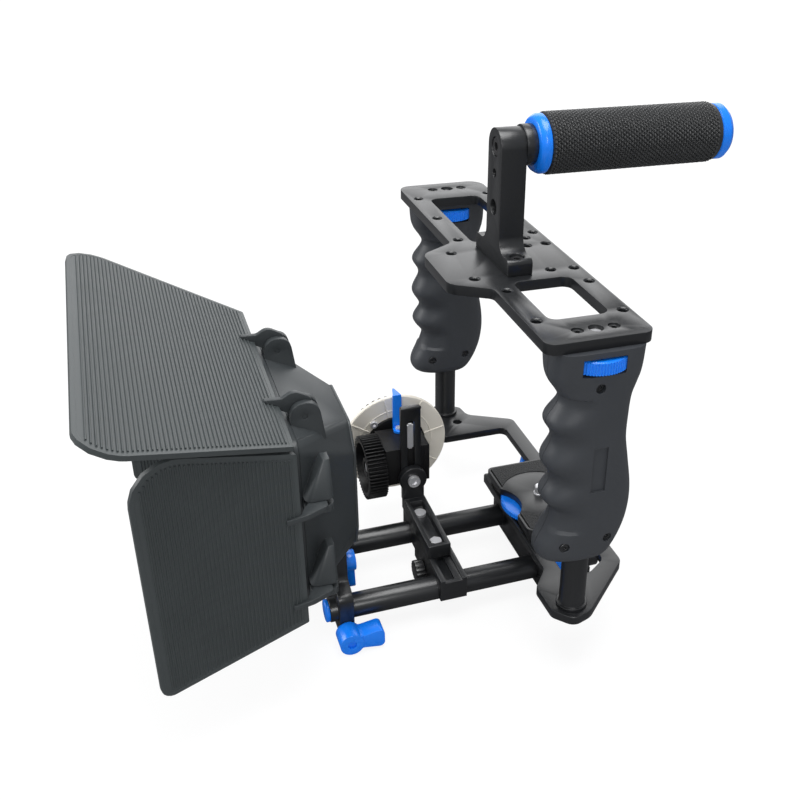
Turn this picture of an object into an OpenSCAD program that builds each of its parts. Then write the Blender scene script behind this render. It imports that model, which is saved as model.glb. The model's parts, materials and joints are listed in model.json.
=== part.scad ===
// Camera cage with rods, matte box and follow focus.
// Origin: seat of the camera screw on the camera plate, on the lens axis.
// +Z is up, -Y is towards the lens and the matte box, X runs across the cage.

/* [Cage] */
// Distance between the two pillar axes
pillar_gap = 232; // [225:1:245]
// Middle of the cage, measured across from the lens axis
cage_x = -20; // [-24:1:-16]
// Pillar diameter
pillar_d = 15; // [12:0.5:16]
// Height of the top plate's upper face above the camera plate
cage_h = 164.5; // [150:0.5:190]
// How far the top plate reaches past each pillar
top_over = 12; // [10:0.5:16]
// Top plate thickness
top_t = 6; // [5:0.5:8]
// Front edge of the top plate, ahead of the pillars
top_front = 31; // [30:0.5:36]
// Rear edge of the top plate, behind the pillars
top_rear = 27.5; // [27:0.5:34]
// How far the plate's nose stands ahead of its front edge
nose_len = 21; // [16:0.5:26]
// Radius of the accessory holes
hole_r = 2.55; // [2:0.05:3.2]

/* [Top handle] */
// Width of the post
post_w = 20; // [17:0.5:22]
// Depth of the post
post_d = 14.5; // [12:0.5:16]
// Height of the handle axis above the top plate
post_h = 64.8; // [56:0.2:80]
// Length of the post's foot
foot_len = 51; // [48:1:60]
// Height of the post's foot
foot_h = 9; // [8:0.5:11]
// Radius of the rubber sleeve
sleeve_r = 16.5; // [15:0.25:19]
// Length of the rubber sleeve
sleeve_len = 104; // [80:1:130]
// Radius of the handle's core
core_r = 9.4; // [8:0.2:11]

/* [Pistol grips] */
// Length of each grip
grip_h = 130; // [126:1:138]
// Half width of each grip
grip_w = 15.5; // [14.5:0.25:17]
// Radius of the thumbwheels
wheel_r = 18.5; // [17.5:0.25:19.5]
// Thickness of the thumbwheels
wheel_t = 7.5; // [6:0.25:8.5]
// Radius of the lifting screw under each thumbwheel
lift_r = 4; // [3:0.1:4.5]

/* [Base] */
// Base plate thickness
base_t = 5.5; // [5:0.5:7]
// Upper face of the base plate, below the camera plate's upper face
base_drop = 10; // [9.8:0.1:12]
// Rear edge of the base plate, behind the camera screw
base_rear = 25.5; // [24:0.5:30]
// Width of the base plate's rear bar
bar_w = 10.5; // [9:0.5:11]

/* [Camera plate] */
// Width of the camera plate
plate_w = 75; // [70:1:84]
// Depth of the camera plate
plate_d = 46; // [43:1:48]
// Thickness of the camera plate
plate_t = 4.5; // [4:0.1:5]
// Radius of the camera screw
screw_r = 3.175; // [3:0.005:4.76]
// Height of the camera screw above the plate
screw_h = 5.5; // [4.5:0.5:7]
// Radius of the camera screw's wheel
camera_wheel_r = 25; // [24.5:0.25:26]
// Radius of the smooth disc between the rubber pads
disc_r = 24.6; // [22:0.2:26]

/* [Rods] */
// Diameter of the two rods
rod_d = 15; // [14:0.5:16]
// Distance between the rod axes
rod_gap = 60; // [58:1:64]
// Rod axis below the camera plate's upper face
rod_drop = 34.8; // [34:0.2:38]
// Front end of the rods, ahead of the camera screw
rod_front = 148.5; // [147:0.5:160]
// Rear end of the rods, behind the camera screw
rod_rear = 28; // [24:1:120]

/* [Matte box] */
// Width of the matte box at its front
box_w = 132; // [128:1:134]
// Height of the matte box at its front
box_h = 104; // [100:1:106]
// Height of the lens axis above the camera plate's upper face
lens_z = 54; // [52:1:56]
// Front face of the matte box, ahead of the camera screw
box_front = 167.5; // [165:0.5:170]
// Depth of the matte box
box_depth = 39; // [36:0.5:40]
// Wall of the matte box
box_wall = 2.5; // [2:0.1:3]
// Length of the top flag
top_flag_len = 102; // [80:1:120]
// Length of the side flags
side_flag_len = 81; // [70:1:100]
// Thickness of the flags
flag_t = 2.4; // [2:0.1:3]
// How far the top flag is raised, in degrees
top_tilt = 22; // [16:1:30]
// How far the side flags are spread, in degrees
side_tilt = 15; // [10:1:25]

/* [Follow focus] */
// Middle of the focus rail, ahead of the camera screw
rail_y = 72.5; // [70:0.5:76]
// Depth of the focus rail
rail_d = 17; // [16:0.5:18]
// Gearbox width
gearbox_w = 27.5; // [26:0.5:30]
// Gearbox depth
gearbox_d = 30; // [29:0.5:31]
// Gearbox height
gearbox_h = 27; // [26:0.5:28]
// Outer radius of the drive gear
gear_r = 21.5; // [20:0.25:23]
// Number of teeth on the drive gear
gear_teeth = 52; // [40:1:60]
// Width of the drive gear
gear_w = 12.5; // [10:0.5:13]
// Radius of the hand wheel
hand_r = 36.5; // [32:0.5:40]
// Width of the hand wheel behind its marking disc
hand_w = 12; // [10:0.5:16]

/* [Fits] */
// Radial clearance of rods and shafts that slide or turn
fit = 0.05; // [0.03:0.01:0.09]
// Gap between pieces that move past each other
gap = 0.3; // [0.3:0.05:0.4]

/* [Hidden] */
$fn = 48;
wafer = 0.1;

// Colours
black = [0.09, 0.10, 0.11];
moulded = [0.22, 0.24, 0.26];
flag_grey = [0.30, 0.34, 0.34];
rubber = [0.14, 0.14, 0.15];
blue = [0.05, 0.35, 0.95];
steel = [0.72, 0.72, 0.74];
cream = [0.80, 0.78, 0.72];

// Cage
pillar_r = pillar_d / 2;
pillar_y = -20;
near_x = cage_x + pillar_gap / 2;
far_x = cage_x - pillar_gap / 2;
top_under = cage_h - top_t;
top_x0 = far_x - top_over;
top_x1 = near_x + top_over;
top_y0 = pillar_y - top_front;
top_y1 = pillar_y + top_rear;
nose_y = top_y0 - nose_len;
nose_root = 36;
nose_half = 23;
window_y0 = pillar_y - 18.5;
window_y1 = pillar_y + 15.5;
near_window_x = [30.5, near_x - 14.5];
far_window_x = [far_x + 19, -32.5];
window_corner = 5.5;
front_row_y = top_y0 + 6;
rear_row_y = top_y1 - 4.5;
nose_row_y = top_y0 - 5;
front_row_x = [-120, -80, -40, 40, 80];
rear_row_x = [-120, -40, -20, 20, 40, 80];
nose_row_x = [-20, 20];
middle_holes = [[19, pillar_y + 9.2], [-19.7, pillar_y + 10.8], [-32, pillar_y + 15]];
end_hole_step = 10;
rim_depth = 0.8;

// Top handle
post_x = -2;
post_y1 = pillar_y - 3.5;
post_y0 = post_y1 - post_d;
handle_z = cage_h + post_h;
foot_x0 = post_x - 0.5 - foot_len / 2;
foot_screw_x = 19.5;
foot_screw_y = (post_y0 + post_y1) / 2;
foot_fillet = 8;
hub_r = 11;
hub_len = 6.5;
collar_y0 = post_y1 + hub_len;
collar_len = 6;
collar_small_r = 14;
collar_r = 16;
sleeve_y0 = collar_y0 + collar_len + 0.5;
sleeve_y1 = sleeve_y0 + sleeve_len;
cap_len = 7.5;
cap_r = 15.5;
post_bolt_r = 3;
post_bolt_len = 24;

// Pistol grips: depth measured from the pillar axis, drop from the top plate
grip_front = [[-24.6, 0, 3], [-24.6, 17, 6], [-18, 27, 7], [-24.5, 42, 6], [-19.5, 53, 6],
  [-24.8, 65, 6], [-19.6, 75, 6], [-24.2, 88, 6], [-17, 99, 7], [-26.6, 121, 5],
  [-23, 130, 4]];
grip_back = [[15, 130, 7], [25.6, 112, 12], [26.8, 96, 12], [21.6, 61, 14], [20.5, 43.5, 12],
  [23.8, 21, 8], [23.8, 0, 2]];
grip_full = 130;
grip_layer = [0.55, 0.82, 1];
grip_inset = [0, 2, 5.5];
cavity_y = [pillar_y - 14, pillar_y + 15];
cavity_drop = [26, 92];
wheel_drop = 8.1;
wheel_room = 0.5;
wheel_window_h = 10;
wheel_window_y = [pillar_y - 12.5, pillar_y + 10.5];
lift_len = 80;
recess_y = [pillar_y - 2.6, pillar_y + 5.4];
recess_drop = [55, 82];
recess_depth = 1.2;
grip_screw_spots = [[-2.2, 20], [-14.2, 116], [10.2, 113.5]];
grip_screw_len = 7;

// Base
base_top = -base_drop;
base_under = base_top - base_t;
base_y1 = base_rear;
base_y0 = -22;
slab_x0 = -46;
slab_x1 = 42;
bar_front = base_y1 - bar_w;
strip_rear = -13.5;
pad_hole_x = far_x + 17.4;
pad_hole_y = pillar_y + 4;
foot_ring_r = 9;
foot_ring_h = 2;
pillar_top = 100;

// Camera plate
wheel_z0 = -plate_t - 4.2;
camera_wheel_t = 3.9;
scallop_r = 20;
pad_t = 0.8;
neck_r = screw_r + 0.6;
clamp_half = 42;
clamp_y0 = -15;
clamp_y1 = 20;
clamp_floor = 2.2;
rod_r = rod_d / 2;
rod_x = rod_gap / 2;
rod_z = -rod_drop;
clamp_bottom = rod_z - rod_r - clamp_floor;
tripod_depth = 9;
knob_y = -4;
knob_z = -23;
lever_y = 8;
lever_z = -23;
lever_out = 29;
lever_rise = 3.3;

// Matte box
box_y0 = -box_front;
box_y1 = box_y0 + box_depth;
rim_t = 1.6;
shell_y1 = box_y1 - rim_t;
frame_t = 3;
frame_lip = 8;
ear_r = 7.5;
ear_t = 4.2;
hinge_y = box_y0 + frame_t + ear_r;
hinge_r = 1.5;
top_hinge_x = 0.3 * box_w;
top_hinge_z = lens_z + box_h / 2 + 4.3;
side_hinge_x = box_w / 2 + 4;
lug_reach = 4;
lug_h = 19;
lug_z = [lens_z - box_h / 2 + 19.3, lens_z + box_h / 2 - 30];
clip_w = 3;
clip_r = 3.3;
clip_t = 1.6;
clip_reach = 8.5;
clip_crown = 9;
flag_start_top = -13.2;
flag_start_side = -14.4;
top_flag_w = [box_w / 2 + 16, box_w / 2 + 60];
top_flag_face = 0.3;
top_flag_corner = 16;
side_flag_face = 9;
side_flag_z = [lens_z - box_h / 2 + 4, lens_z + box_h / 2 + 5.5];
side_flag_front_z = [lens_z - box_h / 2 - 8, lens_z + box_h / 2 + 30];
side_flag_corner = 20;
rim_half = [box_w / 2 - 43, box_w / 2 - 32, box_w / 2 - 39];
rim_top = lens_z + box_h / 2 - 16;
rim_bottom = lens_z - box_h / 2 + 6;
rim_side = [lens_z - box_h / 2 + 23, lens_z + box_h / 2 - 30];
rim_corner = 7;
bracket_y0 = -144;
bracket_y1 = -135;
bracket_z1 = 3.5;
bracket_z0 = -49.5;
bracket_half = 40;
tower_half = 26;
wing_y = -139.8;
wing_z = -45.2;
upper_wing_x = 8;
upper_wing_z = -18;

// Follow focus
rail_y0 = -rail_y - rail_d / 2;
rail_y1 = -rail_y + rail_d / 2;
rail_half = 41;
rail_z1 = rod_z + 12.3;
rail_knob_r = 7;
rail_knob_x = 5;
rail_knob_z = -39.5;
arm_x0 = -42.5;
arm_x1 = 17;
arm_mid = -rail_y - 1.5;
arm_half = 7.3;
bolt_r = 2.5;
nut_r = 4.2;
nut_t = 2.2;
arm_z0 = rail_z1;
arm_h = 9;
arm_floor = 4;
arm_bolt_x = [9, -25];
tilt_y = -rail_y - 2;
tilt_z = 0.7;
ear_disc_r = 9.2;
ear_plate_t = 5;
slot_plate_t = 2.7;
slot_x1 = arm_x0 - gap;
slot_x0 = slot_x1 - slot_plate_t;
slot_half_w = 6.7;
slot_top = 53.5;
slot_bottom = -5;
slot_r = bolt_r + 0.1;
slot_run = [tilt_z, 41];
mesh_x = -56;
mesh_y = -75;
mesh_z = 5.2;
case_x1 = slot_x0;
case_x0 = case_x1 - gearbox_w;
case_y0 = mesh_y - 1 - gearbox_d / 2;
case_y1 = case_y0 + gearbox_d;
case_z0 = -5.5;
case_z1 = case_z0 + gearbox_h;
case_wall = 3;
bevel_r = 5.2;
bevel_face = 2.2;
bevel_teeth = 12;
bevel_tip = 1.07;
bevel_root = 8.5;
bevel_slot = 1.8;
shaft_r = 4;
gear_y1 = case_y0 - 1;
gear_y0 = gear_y1 - gear_w;
gear_tooth = 2.4;
hand_x1 = case_x0 - 7;
disc_t = 3;
hand_x0 = hand_x1 - disc_t - hand_w;
wheel_out_r = hand_r - 7;
flange_r = 21;
flange_t = 2;
pointer_x = case_x0 + 5;
pointer_y = mesh_y - 0.5;
pointer_top = mesh_z + hand_r + 6;

// A closed outline with round corners, from points of [x, y, corner radius].
function corner(a, p, b) = let(
  u = [a[0] - p[0], a[1] - p[1]] / norm([a[0] - p[0], a[1] - p[1]]),
  v = [b[0] - p[0], b[1] - p[1]] / norm([b[0] - p[0], b[1] - p[1]]),
  half = acos(u * v) / 2,
  r = p[2],
  c = [p[0], p[1]] + (u + v) / norm(u + v) * r / sin(half),
  s = [p[0], p[1]] + u * r / tan(half),
  e = [p[0], p[1]] + v * r / tan(half),
  a0 = atan2(s[1] - c[1], s[0] - c[0]),
  turn = atan2(e[1] - c[1], e[0] - c[0]) - a0,
  sweep = turn > 180 ? turn - 360 : turn < -180 ? turn + 360 : turn)
  [for (i = [0:6]) c + r * [cos(a0 + sweep * i / 6), sin(a0 + sweep * i / 6)]];
function rounded(p) = [for (i = [0:len(p) - 1])
  each (p[i][2] == 0 ? [[p[i][0], p[i][1]]]
    : corner(p[(i + len(p) - 1) % len(p)], p[i], p[(i + 1) % len(p)]))];
function box_outline(x0, y0, x1, y1, r) = [[x0, y0, r], [x1, y0, r], [x1, y1, r], [x0, y1, r]];

// Slabs: the outline lies in XY, YZ or XZ and is given its thickness along the third axis.
module slab_z(p, z0, z1) translate([0, 0, z0]) linear_extrude(z1 - z0) polygon(rounded(p));
module slab_x(p, x0, x1) translate([x0, 0, 0]) rotate([90, 0, 90]) linear_extrude(x1 - x0)
  polygon(rounded(p));
module slab_y(p, y0, y1) translate([0, y1, 0]) rotate([90, 0, 0]) linear_extrude(y1 - y0)
  polygon(rounded(p));
module block(a, b) translate(a) cube([b[0] - a[0], b[1] - a[1], b[2] - a[2]]);
module bar_x(p, r, l) translate(p) rotate([0, 90, 0]) cylinder(r = r, h = l);
module bar_y(p, r, l) translate(p) rotate([-90, 0, 0]) cylinder(r = r, h = l);
module bar_z(p, r, l) translate(p) cylinder(r = r, h = l);

// Socket-head screw along +Z: its head's top is at z = 0 and its shank runs down.
module socket_screw(head_r, head_h, shank_r, shank_l) {
  difference() {
    translate([0, 0, -head_h]) cylinder(r = head_r, h = head_h);
    translate([0, 0, -head_h * 0.6]) cylinder(r = head_r * 0.55, h = head_h, $fn = 6);
  }
  translate([0, 0, -head_h - shank_l]) cylinder(r = shank_r, h = shank_l);
}

// Knob body: a disc with scalloped edge, axis along +Z.
module scalloped(r, h, lobes) {
  difference() {
    cylinder(r = r, h = h);
    for (i = [0:lobes - 1])
      rotate(i * 360 / lobes) translate([r + 1.1, 0, -1]) cylinder(r = 1.9, h = h + 2, $fn = 16);
  }
}

// Wing knob along +Z: a hub with one wing that reaches out along +X.
module wing_knob(hub_r, hub_h, reach, stem_r, stem_l) {
  difference() {
    union() {
      cylinder(r = hub_r, h = hub_h);
      slab_z([[0, -hub_r * 0.8, 0], [hub_r, -hub_r * 0.62, 4], [reach, -hub_r * 0.9, 3],
        [reach, hub_r * 0.9, 3], [hub_r, hub_r * 0.62, 4], [0, hub_r * 0.8, 0]], 0.8, hub_h - 0.8);
    }
    translate([0, 0, hub_h - 1.5]) cylinder(r = 2.6, h = 2);
  }
  translate([0, 0, -stem_l]) cylinder(r = stem_r, h = stem_l);
}

module plate_hole(x, y, z, r, t) {
  bar_z([x, y, z - t - 1], r, t + 2);
  translate([x, y, z - rim_depth]) cylinder(r1 = r, r2 = r + rim_depth + 0.4, h = rim_depth + 0.4);
}

module top_plate() color(black) difference() {
  slab_z([[top_x0, top_y1, 10], [top_x0, top_y0, 8], [-nose_root, top_y0, 5],
    [-nose_half, nose_y, 9], [nose_half, nose_y, 9], [nose_root, top_y0, 5],
    [top_x1, top_y0, 6], [top_x1, top_y1, 6]], top_under, cage_h);
  for (w = [near_window_x, far_window_x])
    slab_z(box_outline(w[0], window_y0, w[1], window_y1, window_corner), top_under - 1, cage_h + 1);
  for (x = front_row_x) plate_hole(x, front_row_y, cage_h, hole_r, top_t);
  for (x = rear_row_x) plate_hole(x, rear_row_y, cage_h, hole_r, top_t);
  for (x = nose_row_x) plate_hole(x, nose_row_y, cage_h, hole_r, top_t);
  for (p = middle_holes) plate_hole(p[0], p[1], cage_h, hole_r, top_t);
  for (x = [near_x, far_x]) {
    bar_z([x, pillar_y, top_under - 1], lift_r + fit, top_t + 2);
    for (s = [-1, 1]) {
      bar_z([x, pillar_y + s * end_hole_step, top_under - 1], 1.6, top_t + 2);
      bar_z([x, pillar_y + s * end_hole_step, cage_h - 3.5], 3.3, 5);
    }
  }
  for (s = [-1, 1]) bar_z([post_x + s * foot_screw_x, foot_screw_y, top_under - 1], 2, top_t + 2);
}

module handle_post() color(black) difference() {
  slab_y([[foot_x0, cage_h, 0.5], [foot_x0, cage_h + foot_h, 3],
    [post_x - post_w / 2, cage_h + foot_h, foot_fillet],
    [post_x - post_w / 2, handle_z + post_w / 2, post_w / 2 - 0.1],
    [post_x + post_w / 2, handle_z + post_w / 2, post_w / 2 - 0.1],
    [post_x + post_w / 2, cage_h + foot_h, foot_fillet],
    [foot_x0 + foot_len, cage_h + foot_h, 3], [foot_x0 + foot_len, cage_h, 0.5]],
    post_y0, post_y1);
  bar_y([post_x, post_y0 - 1, handle_z], post_bolt_r + fit, post_d + 2);
  bar_y([post_x, post_y0 - 1, handle_z], 5.3, 5);
  bar_y([post_x, post_y0 - 1, handle_z - 14.3], 2.5, post_d + 2);
  bar_y([post_x, post_y0 - 1, handle_z - 33.3], 4.5, post_d + 2);
  for (s = [-1, 1]) {
    bar_z([post_x + s * foot_screw_x, foot_screw_y, cage_h - 1], 2.1, foot_h + 2);
    bar_z([post_x + s * foot_screw_x, foot_screw_y, cage_h + 4], 4.1, foot_h);
  }
}

module handle_screws() color(steel) {
  for (s = [-1, 1])
    translate([post_x + s * foot_screw_x, foot_screw_y, cage_h + 8]) socket_screw(3.6, 4, 1.95, 9);
  translate([post_x, post_y0 + 0.5, handle_z]) rotate([90, 0, 0])
    socket_screw(4.8, 3.5, post_bolt_r, post_bolt_len);
}

module handle_core() color(black) difference() {
  union() {
    bar_y([post_x, post_y1, handle_z], core_r, sleeve_y1 - post_y1);
    bar_y([post_x, post_y1, handle_z], hub_r, hub_len);
  }
  bar_y([post_x, post_y1 - 1, handle_z], post_bolt_r + fit, post_bolt_len);
}

// A ring about the handle's axis, from [radius, distance along +Y] points.
module handle_turned(p) translate([post_x, 0, handle_z]) rotate([-90, 0, 0])
  rotate_extrude() polygon([for (q = p) [q[0], q[1]]]);

module handle_collar() color(blue) handle_turned([[core_r + fit, collar_y0],
  [collar_small_r, collar_y0], [collar_r, collar_y0 + collar_len * 0.4],
  [collar_r, collar_y0 + collar_len], [core_r + fit, collar_y0 + collar_len]]);

module handle_sleeve() color(rubber) handle_turned([[core_r + fit, sleeve_y0],
  [sleeve_r - 1, sleeve_y0], [sleeve_r, sleeve_y0 + 1], [sleeve_r, sleeve_y1 - 1],
  [sleeve_r - 1, sleeve_y1], [core_r + fit, sleeve_y1]]);

module handle_cap() color(blue) handle_turned([[0, sleeve_y1], [cap_r, sleeve_y1],
  [cap_r, sleeve_y1 + cap_len - 2], [cap_r - 2, sleeve_y1 + cap_len], [0, sleeve_y1 + cap_len]]);

// Outline of a grip seen from the side, Y and Z, at a distance inside its middle one.
function grip_outline(inset) = [for (p = concat(grip_front, grip_back))
  [pillar_y + p[0] - sign(p[0]) * inset,
  top_under - (p[1] - (p[1] > 120 ? inset / 2 : 0)) * grip_h / grip_full, p[2]]];

// Everything that is cut out of a grip about the pillar at x.
module grip_hollow(x) {
  block([x - grip_w + 3, cavity_y[0], top_under - cavity_drop[1]],
    [x + grip_w - 3, cavity_y[1], top_under - cavity_drop[0]]);
  bar_z([x, pillar_y, top_under - grip_h - 1], pillar_r + fit, grip_h);
  bar_z([x, pillar_y, top_under - cavity_drop[0] - 1], lift_r + fit, cavity_drop[0] + 2);
  bar_z([x, pillar_y, top_under - wheel_drop - wheel_t / 2 - gap], wheel_r + wheel_room,
    wheel_t + 2 * gap);
  for (s = [-1, 1])
    bar_z([x, pillar_y + s * end_hole_step, top_under - 3.2], 1.6, 4);
}

module grip_half(x, side) {
  out = side * (x - cage_x) / abs(x - cage_x);
  face = x + out * grip_w;
  difference() {
    for (i = [0:2])
      slab_x(grip_outline(grip_inset[i]), min(x, x + out * grip_w * grip_layer[i]),
        max(x, x + out * grip_w * grip_layer[i]));
    grip_hollow(x);
    block([face - 3, wheel_window_y[0], top_under - wheel_drop - wheel_window_h / 2],
      [face + 3, wheel_window_y[1], top_under - wheel_drop + wheel_window_h / 2]);
    if (side > 0) {
      slab_x(box_outline(recess_y[0], top_under - recess_drop[1], recess_y[1],
        top_under - recess_drop[0], 3.5), face - recess_depth, face + recess_depth);
      for (p = grip_screw_spots) {
        bar_x([face - grip_screw_len, pillar_y + p[0], top_under - p[1]], 1.3,
          2 * grip_screw_len);
        bar_x([face - 2.2, pillar_y + p[0], top_under - p[1]], 2.8, 4.4);
      }
    }
  }
}

module near_grip_outer() color(moulded) grip_half(near_x, 1);
module near_grip_inner() color(moulded) grip_half(near_x, -1);
module far_grip_outer() color(moulded) grip_half(far_x, 1);
module far_grip_inner() color(moulded) grip_half(far_x, -1);

module grip_screws() color(steel) for (x = [near_x, far_x]) {
  out = (x - cage_x) / abs(x - cage_x);
  for (p = grip_screw_spots)
    translate([x + out * (grip_w - 0.4), pillar_y + p[0], top_under - p[1]])
      rotate([0, out * 90, 0]) socket_screw(2.6, 1.8, 1.25, 4);
  for (s = [-1, 1])
    translate([x, pillar_y + s * end_hole_step, cage_h - 0.4]) socket_screw(3.1, 3, 1.5, 5);
}

// Thumbwheel with its lifting screw, which turns in the top of the pillar.
module thumbwheel(x) translate([x, pillar_y, top_under - wheel_drop]) {
  translate([0, 0, -wheel_t / 2]) scalloped(wheel_r, wheel_t, 30);
  translate([0, 0, -lift_len]) cylinder(r = lift_r, h = lift_len + wheel_drop + top_t - 1.5);
}
module near_thumbwheel() color(blue) thumbwheel(near_x);
module far_thumbwheel() color(blue) thumbwheel(far_x);

module pillar(x) difference() {
  union() {
    bar_z([x, pillar_y, base_top], pillar_r, pillar_top - base_top);
    bar_z([x, pillar_y, base_top], foot_ring_r, foot_ring_h);
  }
  bar_z([x, pillar_y, pillar_top - 62], lift_r + fit, 63);
  bar_z([x, pillar_y, base_top - 1], 2.5, 16);
}
module near_pillar() color(black) pillar(near_x);
module far_pillar() color(black) pillar(far_x);

module base_plate() color(black) difference() {
  slab_z([[-110, base_y1, 6], [70, base_y1, 8], [near_x + 10, -12, 12],
    [near_x + 14, pillar_y - 4, 7], [near_x + 3, pillar_y - 13.5, 6], [77, pillar_y - 14, 6],
    [63, base_y0 - 1, 8], [slab_x0, base_y0, 2], [slab_x0, bar_front, 5],
    [far_x + 35.3, bar_front, 5], [far_x + 35.3, pillar_y - 13, 3], [far_x - 7, pillar_y - 14, 8],
    [far_x - 12, pillar_y, 8], [far_x - 3, pillar_y + 13, 5], [far_x + 9, pillar_y + 14.5, 8]],
    base_under, base_top);
  slab_z([[slab_x1, strip_rear, 4], [72, strip_rear, 4], [74.5, 2, 6], [65.5, bar_front, 6],
    [slab_x1, bar_front, 4]], base_under - 1, base_top + 1);
  bar_z([pad_hole_x, pad_hole_y, base_under - 1], 3.2, base_t + 2);
  for (x = [near_x, far_x]) {
    bar_z([x, pillar_y, base_under - 1], 2.6, base_t + 2);
    bar_z([x, pillar_y, base_under - 1], 4.7, 4);
  }
}

module base_screws() color(steel) for (x = [near_x, far_x])
  translate([x, pillar_y, base_under + 0.2]) rotate([180, 0, 0]) socket_screw(4.5, 2.7, 2.45, 14);

module rod_clamp() color(black) difference() {
  slab_y(box_outline(-clamp_half, clamp_bottom, clamp_half, base_under, 3), clamp_y0, clamp_y1);
  for (s = [-1, 1]) {
    bar_y([s * rod_x, clamp_y0 - 1, rod_z], rod_r + fit, clamp_y1 - clamp_y0 + 2);
    block([min(s * rod_x, s * (clamp_half + 1)), clamp_y0 - 1, rod_z - 0.6],
      [max(s * rod_x, s * (clamp_half + 1)), clamp_y1 + 1, rod_z + 0.6]);
  }
  bar_z([0, 2.5, clamp_bottom - 1], hole_r, tripod_depth + 1);
  bar_x([clamp_half - 14, knob_y, knob_z], 2 + fit, 15);
  bar_x([-clamp_half - 1, lever_y, lever_z], 2 + fit, 15);
}

module near_clamp_knob() color(blue) {
  translate([clamp_half + gap, knob_y, knob_z]) rotate([0, 90, 0]) scalloped(7.5, 6, 8);
  bar_x([clamp_half - 12, knob_y, knob_z], 2, 13);
}

module far_clamp_lever() color(blue) {
  translate([-clamp_half - gap, lever_y, lever_z]) rotate([0, -90, 0]) cylinder(r = 5, h = 8);
  hull() {
    translate([-clamp_half - gap - 8, lever_y, lever_z]) rotate([0, 90, 0]) cylinder(r = 4, h = 4, $fn = 32);
    translate([-clamp_half - lever_out, lever_y + 12, lever_z + lever_rise]) rotate([0, 90, 0])
      cylinder(r = 3.4, h = 2, $fn = 32);
  }
  bar_x([-clamp_half - gap - 1, lever_y, lever_z], 2, 13);
}

// Lower layer of the camera plate, with the pocket that holds the wheel.
module plate_base() color(black) difference() {
  slab_z(box_outline(-plate_w / 2 + 2, -plate_d / 2 + 2, plate_w / 2 - 2, plate_d / 2 - 2, 3),
    base_top, -plate_t);
  bar_z([0, 0, base_top + 0.8], camera_wheel_r + 0.8, base_drop);
}

module scallop_cut(z0, z1) translate([4, -plate_d / 2 - scallop_r + 7.5, z0])
  cylinder(r = scallop_r, h = z1 - z0);

module camera_plate() color(black) difference() {
  slab_z(box_outline(-plate_w / 2, -plate_d / 2, plate_w / 2, plate_d / 2, 4), -plate_t, 0);
  scallop_cut(-plate_t - 1, 1);
  bar_z([0, 0, -plate_t - 1], neck_r + fit, plate_t + 2);
  difference() {
    slab_z(box_outline(-plate_w / 2 + 1.5, -plate_d / 2 + 1.5, plate_w / 2 - 1.5,
      plate_d / 2 - 1.5, 3), -pad_t, 1);
    bar_z([0, 0, -plate_t], disc_r, plate_t + 2);
    scallop_cut(-plate_t - 1, 2);
  }
}

module plate_pads() color(rubber) difference() {
  slab_z(box_outline(-plate_w / 2 + 1.6, -plate_d / 2 + 1.6, plate_w / 2 - 1.6,
    plate_d / 2 - 1.6, 3), -pad_t, 0.2);
  bar_z([0, 0, -plate_t], disc_r + 0.1, plate_t + 2);
  scallop_cut(-plate_t - 1, 2);
  block([-plate_w, -plate_d, -1], [plate_w, -plate_d / 2 + 2.5, 1]);
}

module camera_wheel() color(blue) {
  translate([0, 0, wheel_z0]) scalloped(camera_wheel_r, camera_wheel_t, 48);
  bar_z([0, 0, wheel_z0], neck_r, -wheel_z0);
  bar_z([0, 0, -0.1], screw_r, screw_h + 0.1);
}

module rod(x) difference() {
  bar_y([x, -rod_front, rod_z], rod_r, rod_rear + rod_front);
  bar_y([x, -rod_front - 1, rod_z], 4, 13);
  bar_y([x, rod_rear - 12, rod_z], 4, 13);
}
module near_rod() color(black) rod(rod_x);
module far_rod() color(black) rod(-rod_x);

module rod_caps() color(blue) for (x = [-rod_x, rod_x]) {
  bar_y([x, -rod_front - 2.5, rod_z], rod_r - 0.5, 2.5);
  bar_y([x, -rod_front, rod_z], 3.9, 9);
}

// Outer skin of the matte box, or its inside when it is cut: that one is smaller by the
// wall and runs out through both ends.
module box_skin(inset, past) hull() {
  slab_y(rim_outline(inset), shell_y1 - wafer, shell_y1 + past);
  slab_y(front_outline(inset), box_y0 + frame_t - past, box_y0 + frame_t + wafer);
}
function front_outline(inset) = box_outline(-box_w / 2 + inset, lens_z - box_h / 2 + inset,
  box_w / 2 - inset, lens_z + box_h / 2 - inset, rim_corner);
function rim_outline(inset) = let(h = [for (w = rim_half) w - inset])
  [[h[0], rim_top - inset, rim_corner], [h[1], rim_side[1], rim_corner],
  [h[1], rim_side[0], rim_corner], [h[2], rim_bottom + inset, rim_corner],
  [-h[2], rim_bottom + inset, rim_corner], [-h[1], rim_side[0], rim_corner],
  [-h[1], rim_side[1], rim_corner], [-h[0], rim_top - inset, rim_corner]];

// Lugs for a top flag's clip, one on each side of it, at the hinge's middle x.
module top_lugs(x) for (s = [-1, 1])
  slab_x([[hinge_y - ear_r, top_hinge_z - 2 * ear_r, 0],
    [hinge_y - ear_r, top_hinge_z + ear_r, ear_r - wafer],
    [hinge_y + ear_r, top_hinge_z + ear_r, ear_r - wafer],
    [hinge_y + 1.4 * ear_r, top_hinge_z - 2 * ear_r, 0]],
    x + s * (clip_w + ear_t) / 2 - ear_t / 2 + s * gap,
    x + s * (clip_w + ear_t) / 2 + ear_t / 2 + s * gap);

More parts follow.
